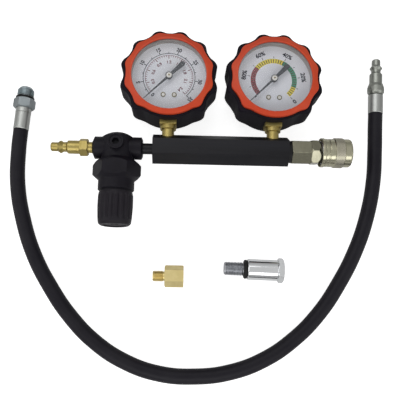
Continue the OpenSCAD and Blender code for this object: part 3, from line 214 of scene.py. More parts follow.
finishes = {
    "bootRubber": {"colour": (0.006, 0.005, 0.008), "second": (0.01, 0.008, 0.013), "rough": (0.5, 0.66),
                   "patches": 60, "grain": 2200, "bump": 0.3, "specular": 0.08,
                   "worn": (0.03, 0.026, 0.03), "wear": 0.3},
    "orangeRing": {"colour": (0.57, 0.05, 0.012), "second": (0.62, 0.066, 0.017), "rough": (0.36, 0.48),
                   "patches": 45, "grain": 1600, "bump": 0.12, "specular": 0.35,
                   "worn": (0.46, 0.045, 0.018), "wear": 0.3},
    "caseSteel": {"colour": (0.36, 0.33, 0.3), "second": (0.5, 0.46, 0.42), "metallic": 1,
                  "rough": (0.26, 0.42), "patches": 90, "bump": 0.1, "stretch": (1, 1, 6),
                  "worn": (0.16, 0.14, 0.13), "wear": 0.5},
    "anodised": {"colour": (0.006, 0.006, 0.008), "second": (0.01, 0.01, 0.013), "rough": (0.3, 0.44),
                 "patches": 70, "bump": 0.12, "specular": 0.2, "stretch": (0.15, 2, 2),
                 "worn": (0.04, 0.04, 0.045), "wear": 0.2, "edge": 0.4},
    "castBlack": {"colour": (0.005, 0.004, 0.007), "second": (0.009, 0.008, 0.012), "rough": (0.38, 0.54),
                  "patches": 80, "grain": 1500, "bump": 0.35, "specular": 0.14,
                  "worn": (0.03, 0.03, 0.035), "edge": 0.5},
    "knobPlastic": {"colour": (0.011, 0.009, 0.013), "second": (0.016, 0.014, 0.018),
                    "rough": (0.42, 0.56), "patches": 70, "grain": 1800, "bump": 0.2, "specular": 0.16,
                    "worn": (0.03, 0.028, 0.032), "edge": 0.4},
    "turnedBrass": {"colour": (0.4, 0.32, 0.115), "second": (0.35, 0.275, 0.09), "metallic": 1,
                    "rough": (0.34, 0.46), "patches": 120, "bump": 0.1, "stretch": (3, 1, 1),
                    "worn": (0.22, 0.16, 0.05)},
    "paleBrass": {"colour": (0.74, 0.62, 0.3), "second": (0.67, 0.55, 0.25), "metallic": 1,
                  "rough": (0.3, 0.42), "patches": 150, "bump": 0.2, "worn": (0.4, 0.31, 0.13)},
    "nickel": {"colour": (0.42, 0.405, 0.3), "second": (0.38, 0.365, 0.265), "metallic": 1,
               "rough": (0.15, 0.26), "patches": 90, "bump": 0.05, "edge": 0.7, "stretch": (3, 1, 1),
               "worn": (0.27, 0.25, 0.19), "wear": 0.2},
    # a darker copy of nickel for the coupler's hexagons: painted shade for the dark reflections on their
    # flats
    "shadedHexNickel": {"colour": (0.28, 0.27, 0.2), "second": (0.24, 0.232, 0.17), "metallic": 1,
                  "rough": (0.15, 0.26), "patches": 90, "bump": 0.05, "edge": 0.7, "stretch": (3, 1, 1),
                  "worn": (0.18, 0.17, 0.12), "wear": 0.2},
    "knurledNickel": {"colour": (0.36, 0.34, 0.28), "second": (0.32, 0.3, 0.24), "metallic": 1,
                      "rough": (0.26, 0.36), "patches": 90, "grain": 1500, "bump": 0.1, "edge": 0.08,
                      "worn": (0.2, 0.18, 0.14), "wear": 0.3},
    "zinc": {"colour": (0.36, 0.37, 0.355), "second": (0.41, 0.42, 0.405), "metallic": 1,
             "rough": (0.32, 0.44), "patches": 110, "bump": 0.12, "stretch": (1, 0.3, 1),
             "worn": (0.24, 0.25, 0.25), "wear": 0.3},
    "plugZinc": {"colour": (0.235, 0.245, 0.22), "second": (0.29, 0.3, 0.275), "metallic": 1,
                 "rough": (0.28, 0.4), "patches": 130, "bump": 0.14, "worn": (0.16, 0.17, 0.16),
                 "wear": 0.35},
    "coolZinc": {"colour": (0.2, 0.225, 0.235), "second": (0.26, 0.285, 0.295), "metallic": 1,
                 "rough": (0.34, 0.46), "patches": 110, "bump": 0.12, "worn": (0.24, 0.25, 0.25),
                 "wear": 0.3},
    "blueZinc": {"colour": (0.29, 0.345, 0.36), "second": (0.38, 0.43, 0.45), "metallic": 1,
                 "rough": (0.28, 0.4), "patches": 130, "bump": 0.15, "edge": 0.1,
                 "worn": (0.16, 0.18, 0.19), "wear": 0.3},
    "chrome": {"colour": (0.71, 0.72, 0.73), "second": (0.68, 0.69, 0.7), "metallic": 1,
               "rough": (0.07, 0.13), "patches": 60, "bump": 0.02, "worn": (0.48, 0.49, 0.51),
               "wear": 0.2},
    "threadSteel": {"colour": (0.36, 0.37, 0.395), "second": (0.43, 0.44, 0.465), "metallic": 1,
                    "rough": (0.3, 0.45), "patches": 160, "grain": 1500, "bump": 0.2, "edge": 0.1,
                    "worn": (0.14, 0.14, 0.15), "wear": 0.4},
    "springSteel": {"colour": (0.5, 0.5, 0.52), "second": (0.6, 0.6, 0.62), "metallic": 1,
                    "rough": (0.25, 0.4), "patches": 150, "bump": 0.1},
    "sealRubber": {"colour": (0.01, 0.01, 0.01), "second": (0.016, 0.016, 0.016), "rough": (0.45, 0.6),
                   "patches": 150, "grain": 1800, "bump": 0.2, "specular": 0.2},
    "hoseRubber": {"colour": (0.009, 0.008, 0.012), "second": (0.014, 0.013, 0.017),
                   "rough": (0.38, 0.52), "patches": 50, "grain": 1200, "bump": 0.3, "specular": 0.14,
                   "worn": (0.03, 0.03, 0.034), "wear": 0.3},
    "dialWhite": {"colour": (0.74, 0.76, 0.82), "second": (0.78, 0.8, 0.845), "rough": (0.4, 0.5),
                  "patches": 30, "grain": 2500, "bump": 0.03, "specular": 0.3, "wear": 0.1},
    "pointerBlack": {"colour": (0.04, 0.045, 0.05), "second": (0.055, 0.06, 0.066), "rough": (0.35, 0.45),
                     "patches": 120, "grain": 2000, "bump": 0.05, "specular": 0.3, "edge": 0.1},
    "hubWhite": {"colour": (0.8, 0.79, 0.74), "second": (0.72, 0.71, 0.66), "rough": (0.25, 0.35),
                 "patches": 300, "grain": 2000, "bump": 0.05},
    "screwRim": {"colour": (0.1, 0.085, 0.03), "second": (0.14, 0.12, 0.05), "metallic": 0.6,
                 "rough": (0.3, 0.42), "patches": 400, "grain": 2000, "bump": 0.1},
    "hubDot": {"colour": (0.16, 0.12, 0.05), "second": (0.22, 0.17, 0.08), "metallic": 0.8,
               "rough": (0.3, 0.4), "patches": 400, "grain": 2000, "bump": 0.05},
}
materials = {name: grainedFinish(name, look) for name, look in finishes.items()}

inks = {
    "inkBlack": (0.012, 0.014, 0.025),
    "inkHatch": (0.07, 0.06, 0.035),
    "inkRed": (0.14, 0.03, 0.045),
    "bandRed": (0.30, 0.055, 0.075),
    "bandYellow": (0.78, 0.64, 0.06),
    "bandGreen": (0.055, 0.27, 0.16),
}
inkLook = {"rough": (0.4, 0.5), "patches": 500, "grain": 3000, "bump": 0.05,
           "specular": 0.2, "edge": 0.01}
inkLighter = 1.15    # an ink's second tone over its first
for ink, colour in inks.items():
    second = tuple(min(1, value * inkLighter) for value in colour)
    materials[ink] = grainedFinish(ink, {"colour": colour, "second": second, **inkLook})

lens = {"colour": (0.45, 0.47, 0.52), "roughness": 0.04, "alpha": 0.06, "haze": 90, "hazed": (0.03, 0.07)}


def clearLens():
    material, tree, shader = newFinish("clearLens", lens["colour"], 0, lens["roughness"])
    shader.inputs["Alpha"].default_value = lens["alpha"]
    haze = noiseOn(tree, objectCoords(tree), lens["haze"])
    tree.links.new(rangeOf(tree, haze, *lens["hazed"]), shader.inputs["Roughness"])
    return material


materials["clearLens"] = clearLens()
print("materials:", len(materials))

# Finish of every carried-over CAD piece
nodeFinish = {
    "caseSteel": ["left_case", "right_case"],
    "clearLens": ["left_lens", "right_lens"],
    "dialWhite": ["left_dial", "right_dial"],
    "pointerBlack": ["left_pointer", "right_pointer"],
    "anodised": ["manifold", "nipple"],
    "castBlack": ["regulator_body", "regulator_port_plugs"],
    "turnedBrass": ["orifice", "inlet_plug", "left_stem", "right_stem", "left_movement",
                    "right_movement", "left_sector", "right_sector", "left_pressure_tube",
                    "right_pressure_tube", "hairsprings", "spring_nut", "valve_seat", "valve_poppet",
                    "coupler_valve"],
    "springSteel": ["left_pinion", "right_pinion", "left_link", "right_link", "adjusting_screw",
                    "diaphragm_plate", "snap_ring"],
    "nickel": ["coupler_sleeve"],
    # the hexagons take the darker nickel copy, whose colour holds painted shade
    "shadedHexNickel": ["coupler_adapter", "coupler_barrel"],
    "zinc": ["hose_ferrules"],
    "plugZinc": ["hose_plug"],
    "chrome": ["locking_balls"],
    "screwRim": ["dial_screws"],
    "sealRubber": ["coupler_washer", "coupler_seal", "spark_fitting_o_ring", "steel_adapter_o_ring"],
}
for finish, names in nodeFinish.items():
    for nodeName in names:
        mesh = nodes[nodeName].data
        mesh.materials.clear()
        mesh.materials.append(materials[finish])


# Modelling helpers
touching = 1e-7    # points nearer than this, in metres, are one point


def finishPiece(name, bm, finish, body, angle=35):
    mesh = meshOf(name, bm)
    mesh.shade_smooth()
    mesh.set_sharp_from_angle(angle=math.radians(angle))
    for key in (finish if isinstance(finish, list) else [finish]):
        mesh.materials.append(materials[key])
    piece = newObject(name, mesh)
    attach(piece, body)
    return piece


def sheet(across, along, spot):
    # a grid laid over a shape: spot gives each point from its two steps, and edges that meet are merged
    bm = bmesh.new()
    bmesh.ops.create_grid(bm, x_segments=across, y_segments=along, size=1)
    for vert in bm.verts:
        vert.co = spot(round((vert.co.x + 1) / 2 * across), round((vert.co.y + 1) / 2 * along))
    bmesh.ops.remove_doubles(bm, verts=bm.verts, dist=touching)
    bmesh.ops.dissolve_degenerate(bm, dist=touching, edges=bm.edges)
    bmesh.ops.recalc_face_normals(bm, faces=bm.faces)
    return bm


def aroundX(along, radius, angle):
    return Vector((along, radius * math.cos(angle), radius * math.sin(angle)))


def aroundZ(radius, height, angle):
    return Vector((radius * math.cos(angle), radius * math.sin(angle), height))


def between(pairs, value):
    # straight lines between (value, result) pairs
    for (low, first), (high, second) in zip(pairs, pairs[1:]):
        if value <= high:
            return first + (second - first) * max(0, (value - low) / (high - low))
    return pairs[-1][1]


def softMin(first, second, soft):
    return (first + second - math.sqrt((first - second) ** 2 + soft ** 2)) / 2


def joinInto(bm, other):
    mesh = meshOf("part", other)
    bm.from_mesh(mesh)
    bpy.data.meshes.remove(mesh)


# Test hose: one cord along the route on the table
hose = {
    "diameter": 12.5 * mm,
    "smooth": 10,
    "route": [
        (-156.3, 24.6, 8.923), (-157.2, 6.8, 7.5), (-155.9, -23, 6.25), (-149, -53, 6.25),
        (-138, -82, 6.25), (-123, -108, 6.25), (-105, -132, 6.25), (-84, -152, 6.25),
        (-59.5, -167, 6.25), (-32, -176, 6.25), (-3.5, -178, 6.25), (25, -174.5, 6.25),
        (52.5, -164.5, 6.25), (77, -148.5, 6.25), (98.5, -127.5, 6.25), (116, -103, 6.25),
        (131, -76, 6.25), (142.5, -46.5, 6.25), (150, -15, 6.25), (153.2, 17, 6.4),
        (154.1, 33, 6.8), (155.1, 48, 7.2),
    ],
}


def makeHose():
    curve = bpy.data.curves.new("testHose", "CURVE")
    curve.dimensions = "3D"
    curve.bevel_depth = hose["diameter"] / 2
    curve.bevel_resolution = hose["smooth"]
    curve.resolution_u = hose["smooth"]
    spline = curve.splines.new("BEZIER")
    spline.bezier_points.add(len(hose["route"]) - 1)
    for point, spot in zip(spline.bezier_points, hose["route"]):
        point.co = Vector(spot) * mm
        point.handle_left_type = "AUTO"
        point.handle_right_type = "AUTO"
    curve.materials.append(materials["hoseRubber"])
    piece = newObject("testHose", curve)
    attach(piece, "hose_set")
    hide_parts("hose")


makeHose()
print("hose: done")

# Round pieces along X, given as rows: each row is (along, radius) or a function of the angle
def roundPart(name, rows, matrix, finish, body, steps=96, angle=24):
    def point(column, row):
        degrees = column * 360 / steps
        item = rows[row % len(rows)]
        along, radius = item(degrees) if callable(item) else item
        return aroundX(along * mm, radius * mm, math.radians(degrees))

    bm = sheet(steps, len(rows), point)
    bmesh.ops.transform(bm, matrix=matrix, verts=bm.verts)
    return finishPiece(name, bm, finish, body, angle)


def hexRow(along, flats, flatAt, limit):
    def row(degrees):
        offset = (degrees - flatAt + 30) % 60 - 30
        return along, min(flats / 2 / math.cos(math.radians(offset)), limit)
    return row


def hexRows(low, high, flats, flatAt, cutLow, cutHigh, slope=0.6, count=5):
    # the chamfers are cones that cut the corners
    corner = flats / math.sqrt(3)
    steps = [index / count for index in range(count + 1)]
    rows = [hexRow(low + cutLow * slope * step, flats, flatAt, corner - cutLow * (1 - step))
            for step in steps]
    rows += [hexRow(high - cutHigh * slope * (1 - step), flats, flatAt, corner - cutHigh * step)
             for step in steps]
    return rows


# Where one turn of a thread leaves its root and where its crest lies, in shares of the pitch
threadForm = {"rootEnd": 0.14, "crestFrom": 0.44, "crestTo": 0.60}


def threadRows(low, high, root, crest, pitch, lead=0.9):
    # one helical ridge; rows outside the thread's length fall on its end circle and merge
    def threadRow(tooth, share, radius):
        def row(degrees):
            along = low + (tooth + share + degrees / 360) * pitch
            if along <= low:
                return low, root
            if along >= high:
                return high, root
            near = min(1, (along - low) / lead, (high - along) / lead)
            return along, root + (radius - root) * near
        return row

    teeth = int((high - low) / pitch) + 3
    turn = [(0, root), (threadForm["rootEnd"], root), (threadForm["crestFrom"], crest),
            (threadForm["crestTo"], crest)]
    return [threadRow(tooth, share, radius) for tooth in range(-2, teeth) for share, radius in turn]


def paintBelow(piece, matrix, limit, index):
    # faces nearer than the limit along the piece's own axis get another material slot
    back = matrix.inverted()
    for polygon in piece.data.polygons:
        if (back @ polygon.center).x < limit * mm:
            polygon.material_index = index


# Spark plug fitting and loose adapters, in mm from a piece's start; nose and heel count back from an end
fittings = {
    "spark": {"start": 16, "bore": 2.3, "lap": 6, "lapFrom": 15.2, "collar": 6.53, "flats": 16, "flatAt": 45,
              "hexFrom": 19.1, "hexTo": 28.3, "cutLow": 2, "cutHigh": 2.3, "groove": 6.2,
              "threadFrom": 30.0, "threadTo": 38.5, "root": 6.25, "crest": 7.0, "pitch": 1.25, "taper": 1.6,
              "nose": [(0.2, 5.1), (0, 4.9), (0, 4.6), (0.3, 4.3), (0.3, 2.9), (0.9, 2.3)],
              "coolTo": 29, "collarTo": 19.05},
    "brass": {"tip": 3.65, "bore": 2.2, "threadFrom": 0.2, "threadTo": 8.7, "root": 3.95, "crest": 4.6,
              "pitch": 1.0, "lead": 0.7, "neckFrom": 9.1, "neck": 3.85, "flats": 15.7, "flatAt": 30,
              "hexFrom": 9.9, "hexTo": 25.5, "cutLow": 1, "cutHigh": 0.5, "socketFrom": 14.58},
    "steel": {"tip": 4.55, "bore": 2.4, "threadFrom": 0.3, "threadTo": 16.0, "root": 4.95, "crest": 5.7,
              "pitch": 1.25, "neckFrom": 16.2, "neck": 4.9, "barrelFrom": 19.4,
              "shoulder": [(0, 7.9), (0.15, 8.3), (0.7, 8.65), (3, 8.63)],
              "heel": [(0.9, 8.65), (0.35, 8.3), (0, 8.25)], "flats": 18, "flatAt": 30, "hexFrom": 44.9,
              "hexTo": 49.4, "cutLow": 0.8, "cutHigh": 1.2, "socketFrom": 35.4, "threadPaintTo": 18.5},
}
socket = {"radius": 6.5, "root": 7.0, "mouth": 7.1, "chamfer": 0.6, "pitch": 1.25, "lead": 0.5,
          "plain": 1, "floor": 0.01}


def hexOf(look):
    return hexRows(look["hexFrom"], look["hexTo"], look["flats"], look["flatAt"], look["cutLow"],
                   look["cutHigh"])


def makeSparkFitting():
    look = fittings["spark"]
    end = look["threadTo"]
    # a collar laps the ferrule's end and runs up to the hexagon
    rows = [(look["start"], look["bore"]), (look["start"], look["lap"]), (look["lapFrom"], look["lap"]),
            (look["lapFrom"], look["collar"]), (look["hexFrom"], look["collar"])]
    rows += hexOf(look)
    rows += [(look["hexTo"], look["groove"]), (look["threadFrom"], look["groove"])]
    rows += threadRows(look["threadFrom"], end - look["taper"], look["root"], look["crest"], look["pitch"])
    rows += [(end - back, radius) for back, radius in look["nose"]]
    matrix = alongX(place["hoseStart"])
    piece = roundPart("sparkPlugFitting", rows, matrix, ["blueZinc", "coolZinc", "zinc"], "hose_set")
    paintBelow(piece, matrix, look["coolTo"], 1)
    paintBelow(piece, matrix, look["collarTo"], 2)
    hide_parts("spark_plug_fitting")


def socketRows(look):
    # the threaded hole in an adapter's hexagon, from its mouth inwards
    end = look["hexTo"]
    inner = end - socket["chamfer"]
    thread = threadRows(look["socketFrom"] + socket["plain"], inner, socket["radius"], socket["root"],
                        socket["pitch"], socket["lead"])
    return [(end, socket["mouth"]), (inner, socket["radius"])] + thread[::-1] + [
        (look["socketFrom"], socket["radius"]), (look["socketFrom"] - socket["floor"], look["bore"])]


def makeBrassAdapter():
    look = fittings["brass"]
    rows = [(0, look["bore"]), (0, look["tip"])]
    rows += threadRows(look["threadFrom"], look["threadTo"], look["root"], look["crest"], look["pitch"],
                       look["lead"])
    rows += [(look["neckFrom"], look["neck"]), (look["hexFrom"], look["neck"])]
    rows += hexOf(look) + socketRows(look)
    piece = roundPart("brassAdapter", rows, alongX(place["brassAdapter"]), "paleBrass", "loose_brass_adapter")
    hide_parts("brass_adapter")


def makeSteelAdapter():
    look = fittings["steel"]
    start = look["barrelFrom"]
    end = look["hexFrom"]
    rows = [(0, look["bore"]), (0, look["tip"])]
    rows += threadRows(look["threadFrom"], look["threadTo"], look["root"], look["crest"], look["pitch"])
    rows += [(look["neckFrom"], look["neck"]), (start, look["neck"])]
    rows += [(start + along, radius) for along, radius in look["shoulder"]]
    rows += [(end - back, radius) for back, radius in look["heel"]]
    rows += hexOf(look) + socketRows(look)
    matrix = alongX(place["steelAdapter"])
    piece = roundPart("steelAdapter", rows, matrix, ["chrome", "threadSteel"], "loose_steel_adapter")
    paintBelow(piece, matrix, look["threadPaintTo"], 1)
    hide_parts("steel_adapter")


# Regulator bonnet with a flat of its hexagon facing up, as photographed
bonnet = {"from": 10, "hexTo": 28.1, "neckTo": 36.6, "spigotTo": 44, "flats": 34.8, "flatAt": 90,
          "shoulder": 13.9, "neck": 14.9, "edge": 0.6, "spigot": 12.85, "clamp": 12.45, "clampTo": 13.3,
          "bore": 10.5, "boreTo": 40, "screwBore": 3.05, "slope": 0.87, "coneSteps": 16, "around": 192}


def makeBonnet():
    look = bonnet
    corner = look["flats"] / math.sqrt(3)
    rows = [(look["from"], look["clamp"])]
    rows += hexRows(look["from"], look["hexTo"], look["flats"], look["flatAt"], corner - look["shoulder"],
                    corner - look["neck"], look["slope"], look["coneSteps"])
    rows += [(look["neckTo"] - look["edge"], look["neck"]), (look["neckTo"], look["neck"] - look["edge"]),
             (look["neckTo"], look["spigot"]), (look["spigotTo"], look["spigot"]),
             (look["spigotTo"], look["screwBore"]), (look["boreTo"], look["screwBore"]),
             (look["boreTo"], look["bore"]), (look["clampTo"], look["bore"]),
             (look["clampTo"], look["clamp"])]
    piece = roundPart("regulatorBonnet", rows, alongX(place["regulator"]), "castBlack", "tester",
                      look["around"])
    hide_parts("regulator_bonnet")


# Knob with hollow grip flutes that run out below its rim
knob = {"outline": ((38.2, 13.7), (41.2, 14.4), (50.2, 14.5), (59.5, 14.0), (63.5, 13.5)),
        "end": ((64.4, 13.0), (65.1, 12.3), (65.5, 11.7), (65.5, 9.7), (64.7, 9.3), (64.7, 3.4), (65.2, 3)),
        "flutes": 18, "depth": 0.95, "width": 0.62, "fluteFrom": 40.4, "fluteTo": 61.2, "runOut": 2.2,
        "cavity": 13.15, "cavityTo": 50.4, "screwBore": 3.05, "screwTo": 61.5, "centre": 0.05,
        "steps": 42, "aroundFlute": 20, "sharpAngle": 32}


def knobRow(along):
    look = knob
    radius = between(look["outline"], along)
    inside = min(along - look["fluteFrom"], look["fluteTo"] - along)
    share = max(0, min(1, inside / look["runOut"]))

    def row(degrees):
        # distance from the nearest flute's middle, from 0 to 1
        offset = abs((degrees * look["flutes"] / 360) % 1 - 0.5) * 2
        hollow = max(0, 1 - (offset / look["width"]) ** 2)
        return along, radius - look["depth"] * math.sqrt(share) * hollow
    return row


def makeKnob():
    look = knob
    top = look["outline"][0][0]
    end = look["outline"][-1][0]
    steps = look["steps"]
    rows = [(top, look["cavity"])]
    rows += [knobRow(top + (end - top) * index / steps) for index in range(steps + 1)]
    rows += look["end"]
    rows += [(look["end"][-1][0], look["centre"]), (look["screwTo"], look["centre"]),
             (look["screwTo"], look["screwBore"]), (look["cavityTo"], look["screwBore"]),
             (look["cavityTo"], look["cavity"])]
    piece = roundPart("regulatorKnob", rows, alongX(place["regulator"]), "knobPlastic", "knob",
                      look["flutes"] * look["aroundFlute"], look["sharpAngle"])
    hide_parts("regulator_knob")


# Regulator diaphragm: a clamped rim, and a middle with a skirt that lifts with its plate
diaphragm = {"from": 12.5, "to": 13.3, "rim": 12.4, "rimBore": 10.35, "middle": 10.25, "skirtTo": 14.4,
             "skirtInner": 9.7, "bend": 9.2, "bendTo": 13.7, "bore": 0.5}


def makeDiaphragm():
    look = diaphragm
    low, high = look["from"], look["to"]
    matrix = alongX(place["regulator"])
    rimRows = [(low, look["rimBore"]), (low, look["rim"]), (high, look["rim"]), (high, look["rimBore"])]
    middleRows = [(low, look["bore"]), (low, look["middle"]), (look["skirtTo"], look["middle"]),
                  (look["skirtTo"], look["skirtInner"]), (look["bendTo"], look["skirtInner"]),
                  (high, look["bend"]), (high, look["bore"])]
    rim = roundPart("diaphragmRim", rimRows, matrix, "sealRubber", "tester")
    middle = roundPart("diaphragmMiddle", middleRows, matrix, "sealRubber", "plate")
    for piece in (rim, middle):
        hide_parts("diaphragm")


# Springs: a wire coil laid in each CAD spring's box, the whole coil on the tester
springMesh = {"perTurn": 32, "around": 12, "sharpAngle": 50}
springs = {
    "regulatingSpring": {"node": "regulating_spring", "axis": 1, "seat": 1, "wire": 1.8, "turns": 4.5,
                         "joint": "spring_nut_slide", "travel": 6.25},
    "valveSpring": {"node": "valve_spring", "axis": 1, "seat": 1, "wire": 0.6, "turns": 4,
                    "joint": "inlet_valve_lift", "travel": 0.8},
    "sleeveSpring": {"node": "sleeve_spring", "axis": 0, "seat": 0, "wire": 0.9, "turns": 4,
                     "joint": "coupler_sleeve_slide", "travel": 2.6},
    "couplerValveSpring": {"node": "coupler_valve_spring", "axis": 0, "seat": 0, "wire": 0.6, "turns": 3,
                           "joint": "outlet_valve_slide", "travel": 3},
}


def makeSpring(name):
    look = springs[name]
    corners = [Vector(corner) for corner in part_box(look["node"])]
    low, high = corners
    middle = (low + high) / 2
    axis = look["axis"]
    length = high[axis] - low[axis]
    wire = look["wire"] * mm
    radius = (high.z - low.z - wire) / 2
    steps = round(look["turns"] * springMesh["perTurn"])

    def point(column, row):
        share = min(max(column - 1, 0), steps) / steps
        thick = wire / 2 if 0 < column < steps + 2 else 0
        across = math.radians(row * 360 / springMesh["around"])
        out = aroundX((length - wire) * (share - 0.5) + thick * math.sin(across),
                      radius + thick * math.cos(across), 2 * math.pi * look["turns"] * share)
        return middle + (out if axis == 0 else Vector((out.y, out.x, out.z)))

    piece = finishPiece(name, sheet(steps + 2, springMesh["around"], point), "springSteel", "tester",
                        springMesh["sharpAngle"])
    anchor = middle.copy()
    anchor[axis] = corners[look["seat"]][axis]
    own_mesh(piece)
    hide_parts(look["node"])


# Knurled bands laid on the coupler's sleeve and on the hose plug's collar
knurlForm = {"flank": 1.6, "stepsAlong": 6, "stepsAround": 6, "edge": 0.15, "sharpAngle": 60}
knurls = {
    "sleeveBand": {"at": (95.95, 103.2), "radius": 12.52, "depth": 0.22, "count": 56, "pitch": 1.3,
                   "inside": 12.3, "finish": "knurledNickel", "body": "sleeve"},
    "collarBand": {"at": (20.6, 24.6), "radius": 7.12, "depth": 0.22, "count": 36, "pitch": 1.2,
                   "inside": 6.9, "finish": "plugZinc", "body": "hose_set"},
}


def knurlRows(low, high, radius, depth, count, pitch):
    def knurlRow(along):
        def row(degrees):
            first = (degrees * count / 360 + along / pitch) % 1
            second = (degrees * count / 360 - along / pitch) % 1
            valley = min(abs(first - 0.5), abs(second - 0.5)) * 2
            return along, radius + depth * min(1, valley * knurlForm["flank"])
        return row

    steps = round((high - low) / pitch * knurlForm["stepsAlong"])
    return [knurlRow(low + (high - low) * index / steps) for index in range(steps + 1)]


def makeKnurl(name, matrix):
    look = knurls[name]
    low, high = look["at"]
    rows = [(low - knurlForm["edge"], look["inside"])]
    rows += knurlRows(low, high, look["radius"], look["depth"], look["count"], look["pitch"])
    rows.append((high + knurlForm["edge"], look["inside"]))
    roundPart(name, rows, matrix, look["finish"], look["body"], look["count"] * knurlForm["stepsAround"],
              knurlForm["sharpAngle"])


makeSparkFitting()
makeBrassAdapter()
makeSteelAdapter()
makeBonnet()
makeKnob()
makeDiaphragm()
for springName in springs:
    makeSpring(springName)
makeKnurl("sleeveBand", Matrix.Translation(place["manifold"]))
makeKnurl("collarBand", alongX(place["hoseEnd"]))
print("fittings: done")

# Rubber boots and coloured rings: one lobed outline with a plain stretch round the stem
lobes = {"count": 12, "first": 15, "plainFrom": 225, "plainTo": 315, "blend": 15, "steps": 240}


def lobedRadius(degrees, shape):
    inPlain = lobes["plainFrom"] < degrees < lobes["plainTo"]
    bare = lobes["plainFrom"] + lobes["blend"] < degrees < lobes["plainTo"] - lobes["blend"]
    low = shape["plain"] if inPlain else shape["valley"]
    wave = (1 + math.cos(math.radians(lobes["count"] * (degrees - lobes["first"])))) / 2
    return low + (shape["lobe"] - low) * (0 if bare else wave ** shape["sharpness"])


def overGauge(bm, side):
    centre = gaugeCentre(side)
    bmesh.ops.translate(bm, vec=(centre.x, centre.y, 0), verts=bm.verts)
    return centre


boot = {
    "valley": 38.4, "lobe": 42.2, "plain": 37.2, "sharpness": 1.6,
    "limits": [(0, 32.2), (3.5, 37.2), (10.2, 41.2), (14.2, 43.2), (32.8, 43.2), (36, 40.4)],
    "heights": [0, 0.15, 0.5, 1.1, 2, 3, 4, 5.5, 7.5, 9.5, 11, 12.5, 14, 16, 19, 22, 25, 28, 31,
                32.2, 33.2, 34.2, 35, 35.5, 35.85, 36],
    "inside": [(34.6, 36), (34.1, 35.8), (34, 35.3), (34, 4), (11, 4), (11, 0.4), (11.4, 0)],
    "top": 36,
    "soft": 0.9,
    "edge": 1.1,
    "sharpAngle": 40,
    "stemSlot": {"down": 36.25, "height": 21.2, "size": (14.4, 24, 14.4)},
}


def bootPoint(column, row):
    degrees = column * 360 / lobes["steps"]
    count = len(boot["heights"])
    if row < count:
        height = boot["heights"][row]
        radius = softMin(lobedRadius(degrees % 360, boot), between(boot["limits"], height), boot["soft"])
        near = max(0, boot["edge"] - min(height, boot["top"] - height)) / boot["edge"]
        radius -= boot["edge"] * (1 - math.sqrt(1 - near * near))
    elif row < count + len(boot["inside"]):
        radius, height = boot["inside"][row - count]
    else:
        return bootPoint(column, 0)
    return aroundZ(radius * mm, height * mm, math.radians(degrees))


def cutBox(piece, centre, size):
    # takes a box out of a piece
    bm = bmesh.new()
    bmesh.ops.create_cube(bm, size=1)
    bmesh.ops.scale(bm, vec=size, verts=bm.verts)
    bmesh.ops.translate(bm, vec=centre, verts=bm.verts)
    mesh = meshOf("cutter", bm)
    cutter = newObject("cutter", mesh)
    modifier = piece.modifiers.new("slot", "BOOLEAN")
    modifier.operation = "DIFFERENCE"
    modifier.solver = "EXACT"
    modifier.object = cutter
    graph = bpy.context.evaluated_depsgraph_get()
    result = bpy.data.meshes.new_from_object(piece.evaluated_get(graph))
    piece.modifiers.clear()
    piece.data = result
    bpy.data.objects.remove(cutter)
    bpy.data.meshes.remove(mesh)


def makeBoot(side):
    rows = len(boot["heights"]) + len(boot["inside"])
    bm = sheet(lobes["steps"], rows, bootPoint)
    centre = overGauge(bm, side)
    piece = finishPiece(side + "Boot", bm, "bootRubber", "tester", boot["sharpAngle"])
    slot = boot["stemSlot"]
    stem = Vector((centre.x, centre.y - slot["down"] * mm, slot["height"] * mm))
    cutBox(piece, stem, Vector(slot["size"]) * mm)
    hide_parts(side + "_boot")


ring = {
    "valley": 35.9, "lobe": 37.8, "plain": 35.6, "sharpness": 1.5,
    "low": 36.02, "rim": (32.2, 40.4), "fall": 0.379,
    "inside": [(31.5, 40.36), (31.25, 40.15), (31.2, 39.9), (31.2, 38.83), (34.05, 38.83), (34.05, 36.02)],
    "shares": [0, 0.2, 0.4, 0.6, 0.75, 0.88, 0.95],
    "edge": [(0.0, 0.30), (0.07, 0.12), (0.24, 0.035), (0.60, 0.0)],    # drop, inset
    "foot": [(0.25, 0.05), (0, 0.30)],    # rise, inset
    "sharpAngle": 30,
}


def ringPoint(column, row):
    degrees = column * 360 / lobes["steps"]
    outer = lobedRadius(degrees % 360, ring)
    rimRadius, rimHeight = ring["rim"]
    width = outer - ring["edge"][0][1] - rimRadius
    faces = len(ring["shares"])
    edges = faces + len(ring["edge"])
    feet = edges + len(ring["foot"])
    if row < faces:
        radius = rimRadius + width * ring["shares"][row]
        height = rimHeight - ring["fall"] * (radius - rimRadius)
    elif row < edges:
        drop, inset = ring["edge"][row - faces]
        radius, height = outer - inset, rimHeight - ring["fall"] * width - drop
    elif row < feet:
        rise, inset = ring["foot"][row - edges]
        radius, height = outer - inset, ring["low"] + rise
    elif row < feet + len(ring["inside"]):
        radius, height = ring["inside"][::-1][row - feet]
    else:
        return ringPoint(column, 0)
    return aroundZ(radius * mm, height * mm, math.radians(degrees))


def makeRing(side):
    rows = sum(len(ring[part]) for part in ("shares", "edge", "foot", "inside"))
    bm = sheet(lobes["steps"], rows, ringPoint)
    overGauge(bm, side)
    piece = finishPiece(side + "Ring", bm, "orangeRing", "tester", ring["sharpAngle"])
    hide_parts(side + "_ring")


for side in sides:
    makeBoot(side)
    makeRing(side)
print("boots and rings: done")

